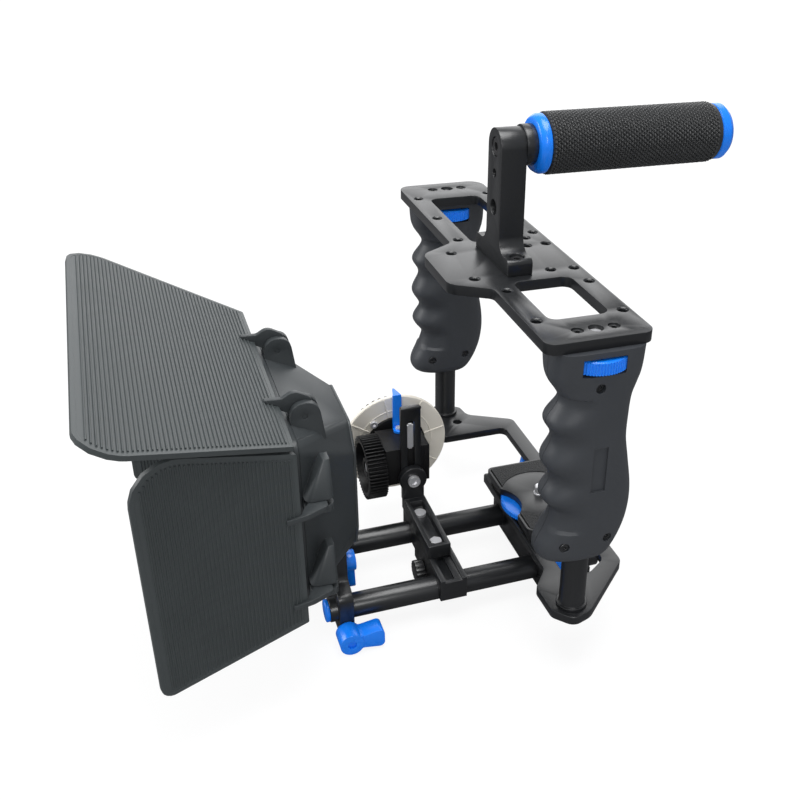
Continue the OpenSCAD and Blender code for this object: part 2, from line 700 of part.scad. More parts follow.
// Lugs for a side flag's clip: one above it that tapers to a point, and a plain one below.
module side_lugs(z) {
  hull() {
    slab_z(lug_outline(side_hinge_x + lug_reach), z, z + wafer);
    slab_z(lug_outline(box_w / 2 - wafer, ear_r / 2, 1), z + lug_h, z + lug_h + wafer);
  }
  slab_z(lug_outline(side_hinge_x + lug_reach), z - 2 * gap - clip_w - ear_t,
    z - 2 * gap - clip_w);
}
function lug_outline(x, front = -ear_r, bend = lug_reach) = [[box_w / 2 - ear_r, hinge_y + front, 0],
  [x, hinge_y + front, bend], [x, hinge_y + ear_r, bend], [box_w / 2 - ear_r, hinge_y + ear_r, 0]];

module box_shell() color(moulded) difference() {
  union() {
    box_skin(0, 0);
    for (s = [-1, 1]) {
      top_lugs(s * top_hinge_x);
      for (z = lug_z) mirror([s > 0 ? 0 : 1, 0, 0]) side_lugs(z);
    }
  }
  box_skin(box_wall, 1);
  for (s = [-1, 1]) {
    bar_x([s * top_hinge_x - clip_w - ear_t, hinge_y, top_hinge_z], hinge_r + fit,
      2 * (clip_w + ear_t));
    for (z = lug_z)
      bar_z([s * side_hinge_x, hinge_y, z - clip_w - 2 * ear_t], hinge_r + fit,
        clip_w + 3 * ear_t + gap);
  }
}

module box_rim() color(moulded) difference() {
  slab_y(rim_outline(0), shell_y1, box_y1);
  slab_y(rim_outline(box_wall), shell_y1 - 1, box_y1 + 1);
}

module box_frame() color(moulded) difference() {
  slab_y(front_outline(0), box_y0, box_y0 + frame_t);
  slab_y(front_outline(frame_lip), box_y0 - 1, box_y0 + frame_t + 1);
}

module hinge_pins() color(steel) for (s = [-1, 1]) {
  bar_x([s * top_hinge_x - clip_w / 2 - ear_t, hinge_y, top_hinge_z], hinge_r,
    clip_w + 2 * ear_t);
  for (z = lug_z)
    bar_z([s * side_hinge_x, hinge_y, z - clip_w - ear_t], hinge_r, clip_w + 2 * ear_t);
}

// Flags are drawn flat, with the hinge axis at the origin and the flag towards -Y.
module at_top_hinge() translate([0, hinge_y, top_hinge_z]) rotate([-top_tilt, 0, 0]) children();
module at_side_hinge(s) mirror([s > 0 ? 0 : 1, 0, 0]) translate([side_hinge_x, hinge_y, 0])
  rotate([0, 0, side_tilt]) children();

module top_flag() color(flag_grey) at_top_hinge()
  slab_z([[-top_flag_w[0], flag_start_top, 3],
    [-top_flag_w[1], flag_start_top - top_flag_len, top_flag_corner],
    [top_flag_w[1], flag_start_top - top_flag_len, top_flag_corner],
    [top_flag_w[0], flag_start_top, 3]], top_flag_face - flag_t, top_flag_face);

module top_flag_arms() color(black) at_top_hinge() for (s = [-1, 1]) difference() {
  union() {
    bar_x([s * top_hinge_x - clip_w / 2, 0, 0], clip_r, clip_w);
    slab_x([[clip_r, 0, 0], [clip_r, clip_crown, 5], [-clip_crown, clip_crown + 1.5, 6],
      [flag_start_top, top_flag_face + clip_crown / 2, 4],
      [flag_start_top - clip_reach, top_flag_face + clip_t, 0.5],
      [flag_start_top - clip_reach, top_flag_face, 0], [flag_start_top, top_flag_face, 0],
      [flag_start_top + 0.5, -clip_t, 0], [-1, -clip_r + 0.3, 0]],
      s * top_hinge_x - clip_w / 2, s * top_hinge_x + clip_w / 2);
  }
  bar_x([s * top_hinge_x - clip_w, 0, 0], hinge_r + fit, 2 * clip_w);
}

module side_flag(s) at_side_hinge(s)
  slab_x([[flag_start_side, side_flag_z[0], 4],
    [flag_start_side - side_flag_len, side_flag_front_z[0], 6],
    [flag_start_side - side_flag_len, side_flag_front_z[1], side_flag_corner],
    [flag_start_side, side_flag_z[1], 3]], side_flag_face - flag_t, side_flag_face);
module near_flag() color(flag_grey) side_flag(1);
module far_flag() color(flag_grey) side_flag(-1);

module side_flag_arms(s) at_side_hinge(s) for (z = lug_z) difference() {
  union() {
    bar_z([0, 0, z - gap - clip_w], clip_r, clip_w);
    slab_z([[1, clip_r - 0.2, 0], [clip_crown, 1, 3],
      [side_flag_face + clip_t + 0.6, flag_start_side + 3, 3],
      [side_flag_face + clip_t, flag_start_side - clip_reach, 0.5],
      [side_flag_face, flag_start_side - clip_reach, 0], [side_flag_face, flag_start_side, 0],
      [side_flag_face - 3, flag_start_side + 2.5, 0], [-2, -2.5, 0]], z - gap - clip_w, z - gap);
  }
  bar_z([0, 0, z - 2 * clip_w], hinge_r + fit, 3 * clip_w);
}
module near_flag_arms() color(black) side_flag_arms(1);
module far_flag_arms() color(black) side_flag_arms(-1);

module box_bracket() color(black) difference() {
  slab_y([[-bracket_half, bracket_z0, 3], [bracket_half, bracket_z0, 3],
    [bracket_half, rod_z + 14, 5], [tower_half, rod_z + 18, 4], [tower_half, bracket_z1 + 9, 0],
    [-tower_half, bracket_z1 + 9, 0], [-tower_half, rod_z + 18, 4], [-bracket_half, rod_z + 14, 5]],
    bracket_y0, bracket_y1);
  box_skin(0, 0);
  for (x = [-rod_x, rod_x]) bar_y([x, bracket_y0 - 1, rod_z], rod_r + fit, 2 + bracket_y1 - bracket_y0);
  bar_x([bracket_half - 12, wing_y, wing_z], 1.8 + fit, 13);
  bar_y([upper_wing_x, bracket_y1 - 6, upper_wing_z], 1.8 + fit, 7);
}

module lower_wing_knob() color(blue) translate([bracket_half + gap, wing_y, wing_z])
  rotate([0, 90, 0]) rotate([0, 0, 90]) wing_knob(7.2, 13, 20, 1.8, 11);

module upper_wing_knob() color(blue) translate([upper_wing_x, bracket_y1 + gap, upper_wing_z])
  rotate([-90, 0, 0]) rotate([0, 0, 90]) wing_knob(6.5, 8, 18, 1.8, 5);

module focus_rail() color(black) difference() {
  union() {
    block([-rail_half, rail_y0, rod_z - 2.7], [rail_half, rail_y1, rail_z1]);
    block([-18, rail_y0 + 1, rod_z - 11], [18, rail_y1 - 1, rod_z - 2.7]);
  }
  block([-rail_half - 1, rail_y0 + 3, rail_z1 - 1.8], [rail_half + 1, rail_y1 - 3, rail_z1 + 1]);
  block([-rail_half + 3, arm_mid - bolt_r - gap, rail_z1 - 3.8],
    [rail_half - 3, arm_mid + bolt_r + gap, rail_z1]);
  for (x = [-rod_x, rod_x]) bar_y([x, rail_y0 - 1, rod_z], rod_r + fit, rail_d + 2);
  bar_y([rail_knob_x, rail_y0, rail_knob_z], 2 + fit, 10);
}

module rail_knob() color(black) {
  translate([rail_knob_x, rail_y0 - gap, rail_knob_z]) rotate([90, 0, 0]) scalloped(rail_knob_r, 6, 16);
  bar_y([rail_knob_x, rail_y0 - 1, rail_knob_z], 2, 9);
}

module focus_arm() color(black) difference() {
  union() {
    block([arm_x0, arm_mid - arm_half, arm_z0], [arm_x1, arm_mid + arm_half, arm_z0 + arm_h]);
    bar_x([arm_x0, tilt_y, tilt_z], ear_disc_r, ear_plate_t);
    block([arm_x0, tilt_y - ear_disc_r + 2, arm_z0 + arm_h - 1],
      [arm_x0 + ear_plate_t, tilt_y + ear_disc_r - 2, tilt_z - 2]);
  }
  block([arm_x0 + ear_plate_t + 4, arm_mid - arm_half + 3, arm_z0 + arm_floor],
    [arm_x1 - 3, arm_mid + arm_half - 3, arm_z0 + arm_h + 1]);
  bar_x([arm_x0 - 1, tilt_y, tilt_z], bolt_r + fit, ear_plate_t + 2);
  for (x = arm_bolt_x) bar_z([x, arm_mid, arm_z0 - 1], bolt_r + fit, arm_floor + 2);
}

module arm_bolts() color(steel) for (x = arm_bolt_x) {
  translate([x, arm_mid, arm_z0 + arm_floor])
    cylinder(r = 4, h = x > 0 ? 3.5 : 2, $fn = x > 0 ? 6 : 32);
  bar_z([x, arm_mid, rail_z1 - 3.5], bolt_r, 3.5 + arm_floor);
}

// Screw that clamps the slotted bracket to the arm, with its nut behind the bracket.
module tilt_screw() color(steel) {
  translate([arm_x0 + ear_plate_t + 2.5, tilt_y, tilt_z]) rotate([0, 90, 0])
    socket_screw(4, 2.5, bolt_r - fit, ear_plate_t + gap + slot_plate_t + nut_t);
  bar_x([slot_x0 - nut_t, tilt_y, tilt_z], nut_r, nut_t - gap);
}

module tilt_bracket() color(black) difference() {
  union() {
    slab_x(box_outline(tilt_y - slot_half_w, slot_bottom, tilt_y + slot_half_w, slot_top, 1),
      slot_x0, slot_x1);
    block([slot_x1 - 0.1, tilt_y - slot_half_w, slot_top - 1.5],
      [slot_x1 + 1.2, tilt_y + slot_half_w, slot_top]);
  }
  for (z = slot_run) bar_x([slot_x0 - 1, tilt_y, z], slot_r, slot_plate_t + 4);
  block([slot_x0 - 1, tilt_y - slot_r, slot_run[0]], [slot_x1 + 3, tilt_y + slot_r, slot_run[1]]);
}

module gearbox_case() color(black) difference() {
  block([case_x0, case_y0, case_z0], [case_x1, case_y1 - case_wall, case_z1]);
  block([case_x0 + case_wall, case_y0 + case_wall, case_z0 + case_wall],
    [case_x1 - nut_t - 0.8, case_y1, case_z1 - case_wall]);
  block([case_x1 - nut_t - gap, tilt_y - nut_r - gap, tilt_z - nut_r - gap],
    [case_x1 + 1, tilt_y + nut_r + gap, case_z1 + 1]);
  bar_x([case_x0 - 1, mesh_y, mesh_z], shaft_r + fit, case_wall + 2);
  bar_y([mesh_x, case_y0 - 1, mesh_z], shaft_r + fit, case_wall + 2);
  bar_z([pointer_x, pointer_y, case_z1 - case_wall - 1], 1.2, case_wall + 2);
}

module gearbox_cover() color(black) difference() {
  block([case_x0, case_y1 - case_wall, case_z0], [case_x1, case_y1, case_z1]);
  for (x = [case_x0 + 3, case_x1 - 3], z = [case_z0 + 3, case_z1 - 3])
    translate([x, case_y1 - 1.2, z]) rotate([-90, 0, 0]) cylinder(r = 1.6, h = 3);
}

// Bevel gear with its apex at the origin and its back along +Z.
module bevel(first_slot) difference() {
  translate([0, 0, bevel_r + 1 - bevel_face])
    cylinder(r1 = (bevel_r + 1 - bevel_face) * bevel_tip, r2 = (bevel_r + 1) * bevel_tip, h = bevel_face);
  for (i = [0:bevel_teeth - 1])
    rotate(first_slot + i * 360 / bevel_teeth) rotate([0, 45 - bevel_root, 0])
      translate([0, -bevel_slot / 2, 0]) cube([6, bevel_slot, 16]);
}

module hand_shaft() color(steel) {
  translate([mesh_x, mesh_y, mesh_z]) rotate([0, -90, 0]) bevel(180 / bevel_teeth);
  bar_x([hand_x0 + 2 + gap, mesh_y, mesh_z], shaft_r, mesh_x - bevel_r - 1 - hand_x0 - 2 - gap);
}

module gear_shaft() color(steel) {
  translate([mesh_x, mesh_y, mesh_z]) rotate([90, 0, 0]) bevel(0);
  bar_y([mesh_x, gear_y0 + 3, mesh_z], shaft_r, mesh_y - bevel_r - 1 - gear_y0 - 3);
}

function tooth(i) = let(a = 360 * i / gear_teeth, b = 360 / gear_teeth, r0 = gear_r - gear_tooth)
  [for (q = [[r0, 0], [gear_r, 0.17], [gear_r, 0.42], [r0, 0.59]])
    q[0] * [cos(a + b * q[1]), sin(a + b * q[1])]];

module drive_gear() color(black) translate([mesh_x, gear_y1, mesh_z]) rotate([90, 0, 0]) difference() {
  linear_extrude(gear_w) polygon([for (i = [0:gear_teeth - 1]) each tooth(i)]);
  difference() {
    translate([0, 0, 3]) cylinder(r = gear_r - 4.5, h = gear_w);
    cylinder(r = shaft_r + 2.5, h = gear_w - 2);
  }
  translate([0, 0, -1]) cylinder(r = shaft_r + fit, h = gear_w + 2);
}

module marking_disc() color(cream) difference() {
  bar_x([hand_x1 - disc_t, mesh_y, mesh_z], hand_r, disc_t);
  bar_x([hand_x1 - disc_t - 1, mesh_y, mesh_z], shaft_r + fit, disc_t + 2);
}

module hand_wheel_flange() color(black) difference() {
  bar_x([hand_x1, mesh_y, mesh_z], flange_r, flange_t);
  bar_x([hand_x1 - 1, mesh_y, mesh_z], shaft_r + fit, flange_t + 2);
}

module hand_wheel() color(black) difference() {
  translate([hand_x1 - disc_t, mesh_y, mesh_z]) rotate([0, -90, 0]) scalloped(wheel_out_r, hand_w, 40);
  bar_x([hand_x0 + 2, mesh_y, mesh_z], shaft_r + fit, hand_w + 2);
}

module pointer() color(blue) {
  difference() {
    bar_z([pointer_x, pointer_y, case_z1 + 0.1], 3.8, 1.8);
    bar_z([pointer_x, pointer_y, case_z1 - 1], 1.25, 4);
  }
  slab_x([[pointer_y - 3.3, case_z1 + 0.1, 0], [pointer_y - 2.9, pointer_top, 1],
    [pointer_y + 2.9, pointer_top, 1], [pointer_y + 3.3, case_z1 + 0.1, 0]],
    pointer_x - 4.6, pointer_x - 2.8);
  slab_z([[pointer_x - 2.8, pointer_y - 2.9, 0.5], [pointer_x - 13, pointer_y - 0.6, 0.4],
    [pointer_x - 13, pointer_y + 0.6, 0.4], [pointer_x - 2.8, pointer_y + 2.9, 0.5]],
    pointer_top - 1.8, pointer_top);
}

module pointer_screw() color(steel) translate([pointer_x, pointer_y, case_z1 + 3.4])
  socket_screw(2.3, 1.4, 1.15, 4);

top_plate();
handle_post();
handle_screws();
handle_core();
handle_collar();
handle_sleeve();
handle_cap();
near_grip_outer();
near_grip_inner();
far_grip_outer();
far_grip_inner();
grip_screws();
near_thumbwheel();
far_thumbwheel();
near_pillar();
far_pillar();
base_plate();
base_screws();
rod_clamp();
near_clamp_knob();
far_clamp_lever();
plate_base();
camera_plate();
plate_pads();
camera_wheel();
near_rod();
far_rod();
rod_caps();
box_bracket();
lower_wing_knob();
upper_wing_knob();
box_shell();
box_frame();
box_rim();
hinge_pins();
top_flag();
top_flag_arms();
near_flag();
near_flag_arms();
far_flag();
far_flag_arms();
focus_rail();
rail_knob();
focus_arm();
arm_bolts();
tilt_screw();
tilt_bracket();
gearbox_case();
gearbox_cover();
hand_shaft();
gear_shaft();
drive_gear();
marking_disc();
hand_wheel();
hand_wheel_flange();
pointer();
pointer_screw();
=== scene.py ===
import json
import math

import bmesh
import bpy
from mathutils import Matrix, Vector

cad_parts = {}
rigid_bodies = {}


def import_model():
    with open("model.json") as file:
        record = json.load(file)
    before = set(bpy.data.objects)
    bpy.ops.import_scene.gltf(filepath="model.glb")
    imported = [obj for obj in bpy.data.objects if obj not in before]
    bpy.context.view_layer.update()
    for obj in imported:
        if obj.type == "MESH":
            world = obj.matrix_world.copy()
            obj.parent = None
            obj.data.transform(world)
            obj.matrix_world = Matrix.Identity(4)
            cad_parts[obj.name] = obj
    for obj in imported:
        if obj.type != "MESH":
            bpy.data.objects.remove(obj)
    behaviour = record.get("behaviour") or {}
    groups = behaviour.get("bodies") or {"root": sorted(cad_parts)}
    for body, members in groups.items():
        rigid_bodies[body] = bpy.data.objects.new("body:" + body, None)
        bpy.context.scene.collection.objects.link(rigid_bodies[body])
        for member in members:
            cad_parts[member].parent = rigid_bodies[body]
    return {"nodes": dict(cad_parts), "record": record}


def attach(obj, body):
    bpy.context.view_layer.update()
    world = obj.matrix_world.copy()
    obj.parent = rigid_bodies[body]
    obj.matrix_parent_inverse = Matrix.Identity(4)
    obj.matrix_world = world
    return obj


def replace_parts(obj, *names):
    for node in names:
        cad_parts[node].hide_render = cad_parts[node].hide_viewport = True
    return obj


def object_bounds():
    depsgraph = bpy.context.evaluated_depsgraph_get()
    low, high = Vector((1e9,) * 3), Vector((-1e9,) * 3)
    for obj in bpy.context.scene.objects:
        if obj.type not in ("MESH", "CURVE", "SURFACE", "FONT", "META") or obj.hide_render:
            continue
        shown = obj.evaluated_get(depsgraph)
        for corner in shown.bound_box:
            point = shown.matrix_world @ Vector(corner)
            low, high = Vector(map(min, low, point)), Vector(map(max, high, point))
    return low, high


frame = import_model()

cad_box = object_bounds()

# View: the camera stands to the right of the rig and ahead of it, looks down on it by
# about 30 degrees and is rolled by 2. The frame's middle lies a little off the lens axis.
eye = Vector((0.4966, -0.23239, 0.37305))
azimuth, elevation, roll = math.radians(68.62), math.radians(29.67), math.radians(1.89)
back = Vector((math.sin(azimuth) * math.cos(elevation),
               -math.cos(azimuth) * math.cos(elevation), math.sin(elevation)))
right = (-back).cross(Vector((0, 0, 1))).normalized()
up = right.cross(-back)
right_rolled = right * math.cos(roll) + up * math.sin(roll)
up_rolled = up * math.cos(roll) - right * math.sin(roll)
camera = bpy.data.objects.new("camera", bpy.data.cameras.new("camera"))
bpy.context.scene.collection.objects.link(camera)
camera.matrix_world = Matrix.Translation(eye) @ Matrix(
    (right_rolled, up_rolled, back)).transposed().to_4x4()
camera.data.lens = 45.26
camera.data.sensor_width = 36
camera.data.shift_x, camera.data.shift_y = -0.10996, 0.01146
camera.data.clip_start = 0.01
bpy.context.scene.camera = camera

# Studio: a roll of white paper under the rig, one soft lamp above it and three around it.
# The paper takes the rig's shadow and fades to white with distance.
paper = bpy.data.meshes.new("paper")
paper_half, paper_gap = 6, 0.0006
floor_z = cad_box[0][2] - paper_gap
paper.from_pydata([(x * paper_half, y * paper_half, floor_z)
                   for x, y in ((-1, -1), (1, -1), (1, 1), (-1, 1))], [], [(0, 1, 2, 3)])
floor = bpy.data.objects.new("paper_floor", paper)
bpy.context.scene.collection.objects.link(floor)
white_paper = bpy.data.materials.new("white_paper")
white_paper.use_nodes = True
paper_tree = white_paper.node_tree
matt = paper_tree.nodes["Principled BSDF"]
matt.inputs["Base Color"].default_value = (0.62, 0.62, 0.62, 1)
matt.inputs["Roughness"].default_value = 0.9
matt.inputs["Specular IOR Level"].default_value = 0.1
fibre = paper_tree.nodes.new("ShaderNodeTexNoise")
fibre.inputs["Scale"].default_value = 900
fibre_relief = paper_tree.nodes.new("ShaderNodeBump")
fibre_relief.inputs["Strength"].default_value = 0.05
fibre_relief.inputs["Distance"].default_value = 0.0004
paper_tree.links.new(fibre.outputs[0], fibre_relief.inputs["Height"])
paper_tree.links.new(fibre_relief.outputs[0], matt.inputs["Normal"])
glow = paper_tree.nodes.new("ShaderNodeEmission")
glow.inputs["Color"].default_value = (1, 1, 1, 1)
near_reach, far_reach, near_glow, far_glow = 0.6, 2.2, 1.14, 1.32
where = paper_tree.nodes.new("ShaderNodeTexCoord")
reach = paper_tree.nodes.new("ShaderNodeVectorMath")
reach.operation = "LENGTH"
paper_tree.links.new(where.outputs["Object"], reach.inputs[0])
whiter = paper_tree.nodes.new("ShaderNodeMapRange")
for label, value in (("From Min", near_reach), ("From Max", far_reach),
                     ("To Min", near_glow), ("To Max", far_glow)):
    whiter.inputs[label].default_value = value
paper_tree.links.new(reach.outputs["Value"], whiter.inputs["Value"])
paper_tree.links.new(whiter.outputs[0], glow.inputs["Strength"])
dim = paper_tree.nodes.new("ShaderNodeBsdfDiffuse")
dim.inputs["Color"].default_value = (0.05, 0.05, 0.055, 1)
glow_share, dim_share = 0.78, 0.8
paper_rays = paper_tree.nodes.new("ShaderNodeLightPath")


def times(tree, value, factor):
    """A value of a tree multiplied by a fixed factor."""
    product = tree.nodes.new("ShaderNodeMath")
    product.operation = "MULTIPLY"
    product.inputs[1].default_value = factor
    tree.links.new(value, product.inputs[0])
    return product.outputs[0]


def blend(tree, share, one, two):
    """One shader passing into another by a share."""
    mix = tree.nodes.new("ShaderNodeMixShader")
    for k, source in enumerate((share, one, two)):
        tree.links.new(source, mix.inputs[k])
    return mix.outputs[0]


in_gloss = blend(paper_tree, times(paper_tree, paper_rays.outputs["Is Glossy Ray"], dim_share),
                 matt.outputs[0], dim.outputs[0])
in_view = blend(paper_tree, times(paper_tree, paper_rays.outputs["Is Camera Ray"], glow_share),
                in_gloss, glow.outputs[0])
paper_tree.links.new(in_view, paper_tree.nodes["Material Output"].inputs[0])
paper.materials.append(white_paper)

world = bpy.data.worlds.new("studio")
bpy.context.scene.world = world
world.use_nodes = True
sky = world.node_tree
sky.nodes.clear()
rays = sky.nodes.new("ShaderNodeLightPath")
ambient = sky.nodes.new("ShaderNodeBackground")
ambient.inputs["Color"].default_value = (0.95, 0.97, 1.0, 1)
ambient.inputs["Strength"].default_value = 0.38
white = sky.nodes.new("ShaderNodeBackground")
white.inputs["Color"].default_value = (1, 1, 1, 1)
seen = sky.nodes.new("ShaderNodeMath")
seen.operation = "MAXIMUM"
sky.links.new(rays.outputs["Is Camera Ray"], seen.inputs[0])
sky.links.new(rays.outputs["Is Transmission Ray"], seen.inputs[1])
sky_out = sky.nodes.new("ShaderNodeOutputWorld")
sky.links.new(blend(sky, seen.outputs[0], ambient.outputs[0], white.outputs[0]),
              sky_out.inputs[0])

lit_point = Vector((0, -0.05, 0.05))
for name, place, size, watts in (("overhead", (0.1, -0.1, 1.5), 1.0, 18.5),
                                 ("far_side", (-1.7, 0.8, 0.9), 2.0, 16),
                                 ("front", (-0.7, -1.6, 0.8), 1.0, 15),
                                 ("right_side", (1.5, -0.6, 1.0), 0.5, 7)):
    lamp = bpy.data.lights.new(name, "AREA")
    lamp.size = size
    lamp.energy = watts
    holder = bpy.data.objects.new(name, lamp)
    bpy.context.scene.collection.objects.link(holder)
    holder.location = place
    holder.rotation_euler = (lit_point - Vector(place)).to_track_quat("-Z", "Y").to_euler()
bpy.context.scene.view_settings.view_transform = "Standard"


# Base plate: one flat plate of black anodised aluminium, milled out on both sides of the
# camera. Its edges are broken all round, and two screws hold the pillars on it from below.
nodes = frame["nodes"]
body_of = {node: body for body, group in frame["record"]["behaviour"]["bodies"].items()
           for node in group}
coat_rough, tone_scale, tone_lift = 0.12, 38, 0.001
flat_turn, wear_and_highlight_turn, wear_and_highlight_lift = 0.995, 0.85, 0.15
gloss_low, gloss_high = 0.88, 1.15
first_colour, second_colour, mixed_colour = 6, 7, 2


def finish(name, colour, rough, metal=0.0, grain_mm=0.35, relief=0.06, tone=0.12, edge=0.3,
           coat=0.0, specular=0.5, edge_mm=0.25):
    """Grain, a slow change of tone, and edges painted brighter: part wear, part painted highlight.
    """
    material = bpy.data.materials.new(name)
    material.use_nodes = True
    tree = material.node_tree
    shader = tree.nodes["Principled BSDF"]
    shader.inputs["Metallic"].default_value = metal
    shader.inputs["Coat Weight"].default_value = coat
    shader.inputs["Coat Roughness"].default_value = coat_rough
    shader.inputs["Specular IOR Level"].default_value = specular
    place = tree.nodes.new("ShaderNodeTexCoord")
    rounding = tree.nodes.new("ShaderNodeBevel")
    rounding.samples = 4
    rounding.inputs["Radius"].default_value = edge_mm / 1000
    fine = tree.nodes.new("ShaderNodeTexNoise")
    fine.inputs["Scale"].default_value = 1000 / grain_mm
    fine.inputs["Detail"].default_value = 2
    tree.links.new(place.outputs["Object"], fine.inputs["Vector"])
    bump = tree.nodes.new("ShaderNodeBump")
    bump.inputs["Strength"].default_value = relief
    bump.inputs["Distance"].default_value = grain_mm / 1000
    tree.links.new(fine.outputs[0], bump.inputs["Height"])
    tree.links.new(rounding.outputs[0], bump.inputs["Normal"])
    tree.links.new(bump.outputs[0], shader.inputs["Normal"])
    slow = tree.nodes.new("ShaderNodeTexNoise")
    slow.inputs["Scale"].default_value = tone_scale
    slow.inputs["Detail"].default_value = 4
    tree.links.new(place.outputs["Object"], slow.inputs["Vector"])
    surface = tree.nodes.new("ShaderNodeNewGeometry")
    facing = tree.nodes.new("ShaderNodeVectorMath")
    facing.operation = "DOT_PRODUCT"
    tree.links.new(rounding.outputs[0], facing.inputs[0])
    tree.links.new(surface.outputs["Normal"], facing.inputs[1])
    # Broken edges get a brighter base colour: part wear, part a painted highlight along the edge.
    wear_and_highlight = tree.nodes.new("ShaderNodeMapRange")
    wear_and_highlight.inputs["From Min"].default_value = flat_turn
    wear_and_highlight.inputs["From Max"].default_value = wear_and_highlight_turn
    tree.links.new(facing.outputs["Value"], wear_and_highlight.inputs["Value"])
    tones = tree.nodes.new("ShaderNodeMix")
    tones.data_type = "RGBA"
    darker = [c * (1 - tone) for c in colour]
    lighter = [min(1, c * (1 + tone) + tone_lift) for c in colour]
    tones.inputs[first_colour].default_value = (*darker, 1)
    tones.inputs[second_colour].default_value = (*lighter, 1)
    tree.links.new(slow.outputs[0], tones.inputs[0])
    edged = tree.nodes.new("ShaderNodeMix")
    edged.data_type = "RGBA"
    # The brighter edge colour stands partly for wear and partly for a painted highlight.
    brighter = [min(1, c + edge * (wear_and_highlight_lift + c)) for c in colour]
    edged.inputs[second_colour].default_value = (*brighter, 1)
    tree.links.new(wear_and_highlight.outputs[0], edged.inputs[0])
    tree.links.new(tones.outputs[mixed_colour], edged.inputs[first_colour])
    tree.links.new(edged.outputs[mixed_colour], shader.inputs["Base Color"])
    gloss = tree.nodes.new("ShaderNodeMapRange")
    gloss.inputs["To Min"].default_value = rough * gloss_low
    gloss.inputs["To Max"].default_value = min(1, rough * gloss_high)
    tree.links.new(slow.outputs[0], gloss.inputs["Value"])
    tree.links.new(gloss.outputs[0], shader.inputs["Roughness"])
    return material


def placed(name, mesh, material, body, smooth=35):
    """Sets a mesh in the scene as a piece, with its finish, body and material slot."""
    mesh.materials.clear()
    mesh.materials.append(material)
    for face in mesh.polygons:
        face.use_smooth = True
    mesh.set_sharp_from_angle(angle=math.radians(smooth))
    piece = bpy.data.objects.new(name, mesh)
    bpy.context.scene.collection.objects.link(piece)
    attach(piece, body)
    return piece


def as_mesh(name, shape):
    """A worked shape as a mesh of its own."""
    mesh = bpy.data.meshes.new(name)
    shape.to_mesh(mesh)
    shape.free()
    return mesh


merge_gap, flat_angle, sharp_angle, edge_steps = 2e-6, 0.8, 35, 2


def machined(material, *names, edge=0.0005):
    """A copy of each piece whose sharp edges are broken by a small round."""
    for name in names:
        shape = bmesh.new()
        shape.from_mesh(nodes[name].data)
        bmesh.ops.remove_doubles(shape, verts=shape.verts, dist=merge_gap)
        bmesh.ops.dissolve_limit(shape, angle_limit=math.radians(flat_angle), verts=shape.verts,
                                 edges=shape.edges)
        sharp = [e for e in shape.edges
                 if e.is_manifold and e.calc_face_angle(0) > math.radians(sharp_angle)]
        bmesh.ops.bevel(shape, geom=sharp, offset=edge, segments=edge_steps, profile=0.5,
                        affect="EDGES", clamp_overlap=True)
        bmesh.ops.triangulate(shape, faces=[f for f in shape.faces if len(f.verts) > 4])
        mesh = as_mesh(name + "_edged", shape)
        piece = placed(name + "_edged", mesh, material, body_of[name])
        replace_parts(piece, name)


def painted(material, *names):
    """A new finish on pieces whose own shape is fine as it is."""
    for name in names:
        nodes[name].data.materials.clear()
        nodes[name].data.materials.append(material)


# Its edge=0.5 paints the broken edges brighter: part wear, part painted highlight.
anodised = finish("black_anodised", (0.010, 0.011, 0.0125), 0.32, grain_mm=0.12, relief=0.1,
                  edge=0.5, specular=0.75)
bright_steel = finish("plated_steel", (0.82, 0.82, 0.84), 0.36, metal=0.7, edge=0.2)
dark_steel = finish("blackened_steel", (0.035, 0.035, 0.037), 0.3, metal=0.3, edge=0.6)
machined(anodised, "base_plate")
painted(dark_steel, "base_screws")


# Pillars: two ground 15 mm tubes that stand on the base plate in a shallow ring and are
# screwed to it. The grips slide on them.
tube_black = finish("satin_tube", (0.012, 0.013, 0.0145), 0.3, grain_mm=0.1, relief=0.08,
                    specular=0.75)
machined(tube_black, "near_pillar", "far_pillar", edge=0.0003)


# Pistol grips: each is two nylon mouldings that close on the pillar, with finger grooves in
# front and a fine parting line. A thumbwheel looks out of a window near the top.
near_x, far_x, pillar_y, top_under, grip_half = 0.096, -0.136, -0.020, 0.1585, 0.0155
# Each point: mm below the top plate, and mm from the pillar's axis to the front or the rear.
front_line = [(0, 24.6), (15, 24.6), (20, 23.2), (28, 18.0), (32, 18.2), (42.5, 24.2), (50, 20.6),
              (54, 20.2), (66, 24.6), (75, 20.0), (78, 19.8), (88, 24.2), (97, 18.4), (101, 18.6),
              (110, 21.8), (118, 25.6), (123.5, 26.0), (127, 23.4), (129.2, 17), (130, 6)]
back_line = [(0, 23.8), (18, 23.8), (29, 20.4), (42, 19.6), (54, 19.8), (67, 22.2), (84, 25.4),
             (96, 26), (107, 24.4), (116, 21), (123, 16.4), (128, 10.5), (130, 4)]
moulded = finish("grip_nylon", (0.046, 0.050, 0.057), 0.42, grain_mm=0.25, relief=0.22,
                 tone=0.08, edge=0.04, edge_mm=0.6, specular=0.45)


def eased(line, drop):
    """How far out a smooth line through points stands at one drop, by cubics."""
    for k in range(len(line) - 1):
        (a, p), (b, q) = line[k], line[k + 1]
        if a <= drop <= b:
            before = line[max(k - 1, 0)]
            after = line[min(k + 2, len(line) - 1)]
            slope_a = (q - before[1]) / (b - before[0])
            slope_b = (after[1] - p) / (after[0] - a)
            t, span = (drop - a) / (b - a), b - a
            return ((2 * t ** 3 - 3 * t ** 2 + 1) * p + (t ** 3 - 2 * t ** 2 + t) * span * slope_a
                    + (3 * t ** 2 - 2 * t ** 3) * q + (t ** 3 - t ** 2) * span * slope_b)
    return line[-1][1]


closing_drop, closing_mm, block_drop, seam_half = 123, 7.5, 20, 0.00015
fingers_from, fingers_to, finger_peak, finger_mm = 26, 108, 24.6, 6
finger_turn, finger_fade, finger_cut = 1.45, 0.7, 0.42
front_round, front_boxy, rear_round, rear_boxy = 2.5, 2.2, 3.0, 2


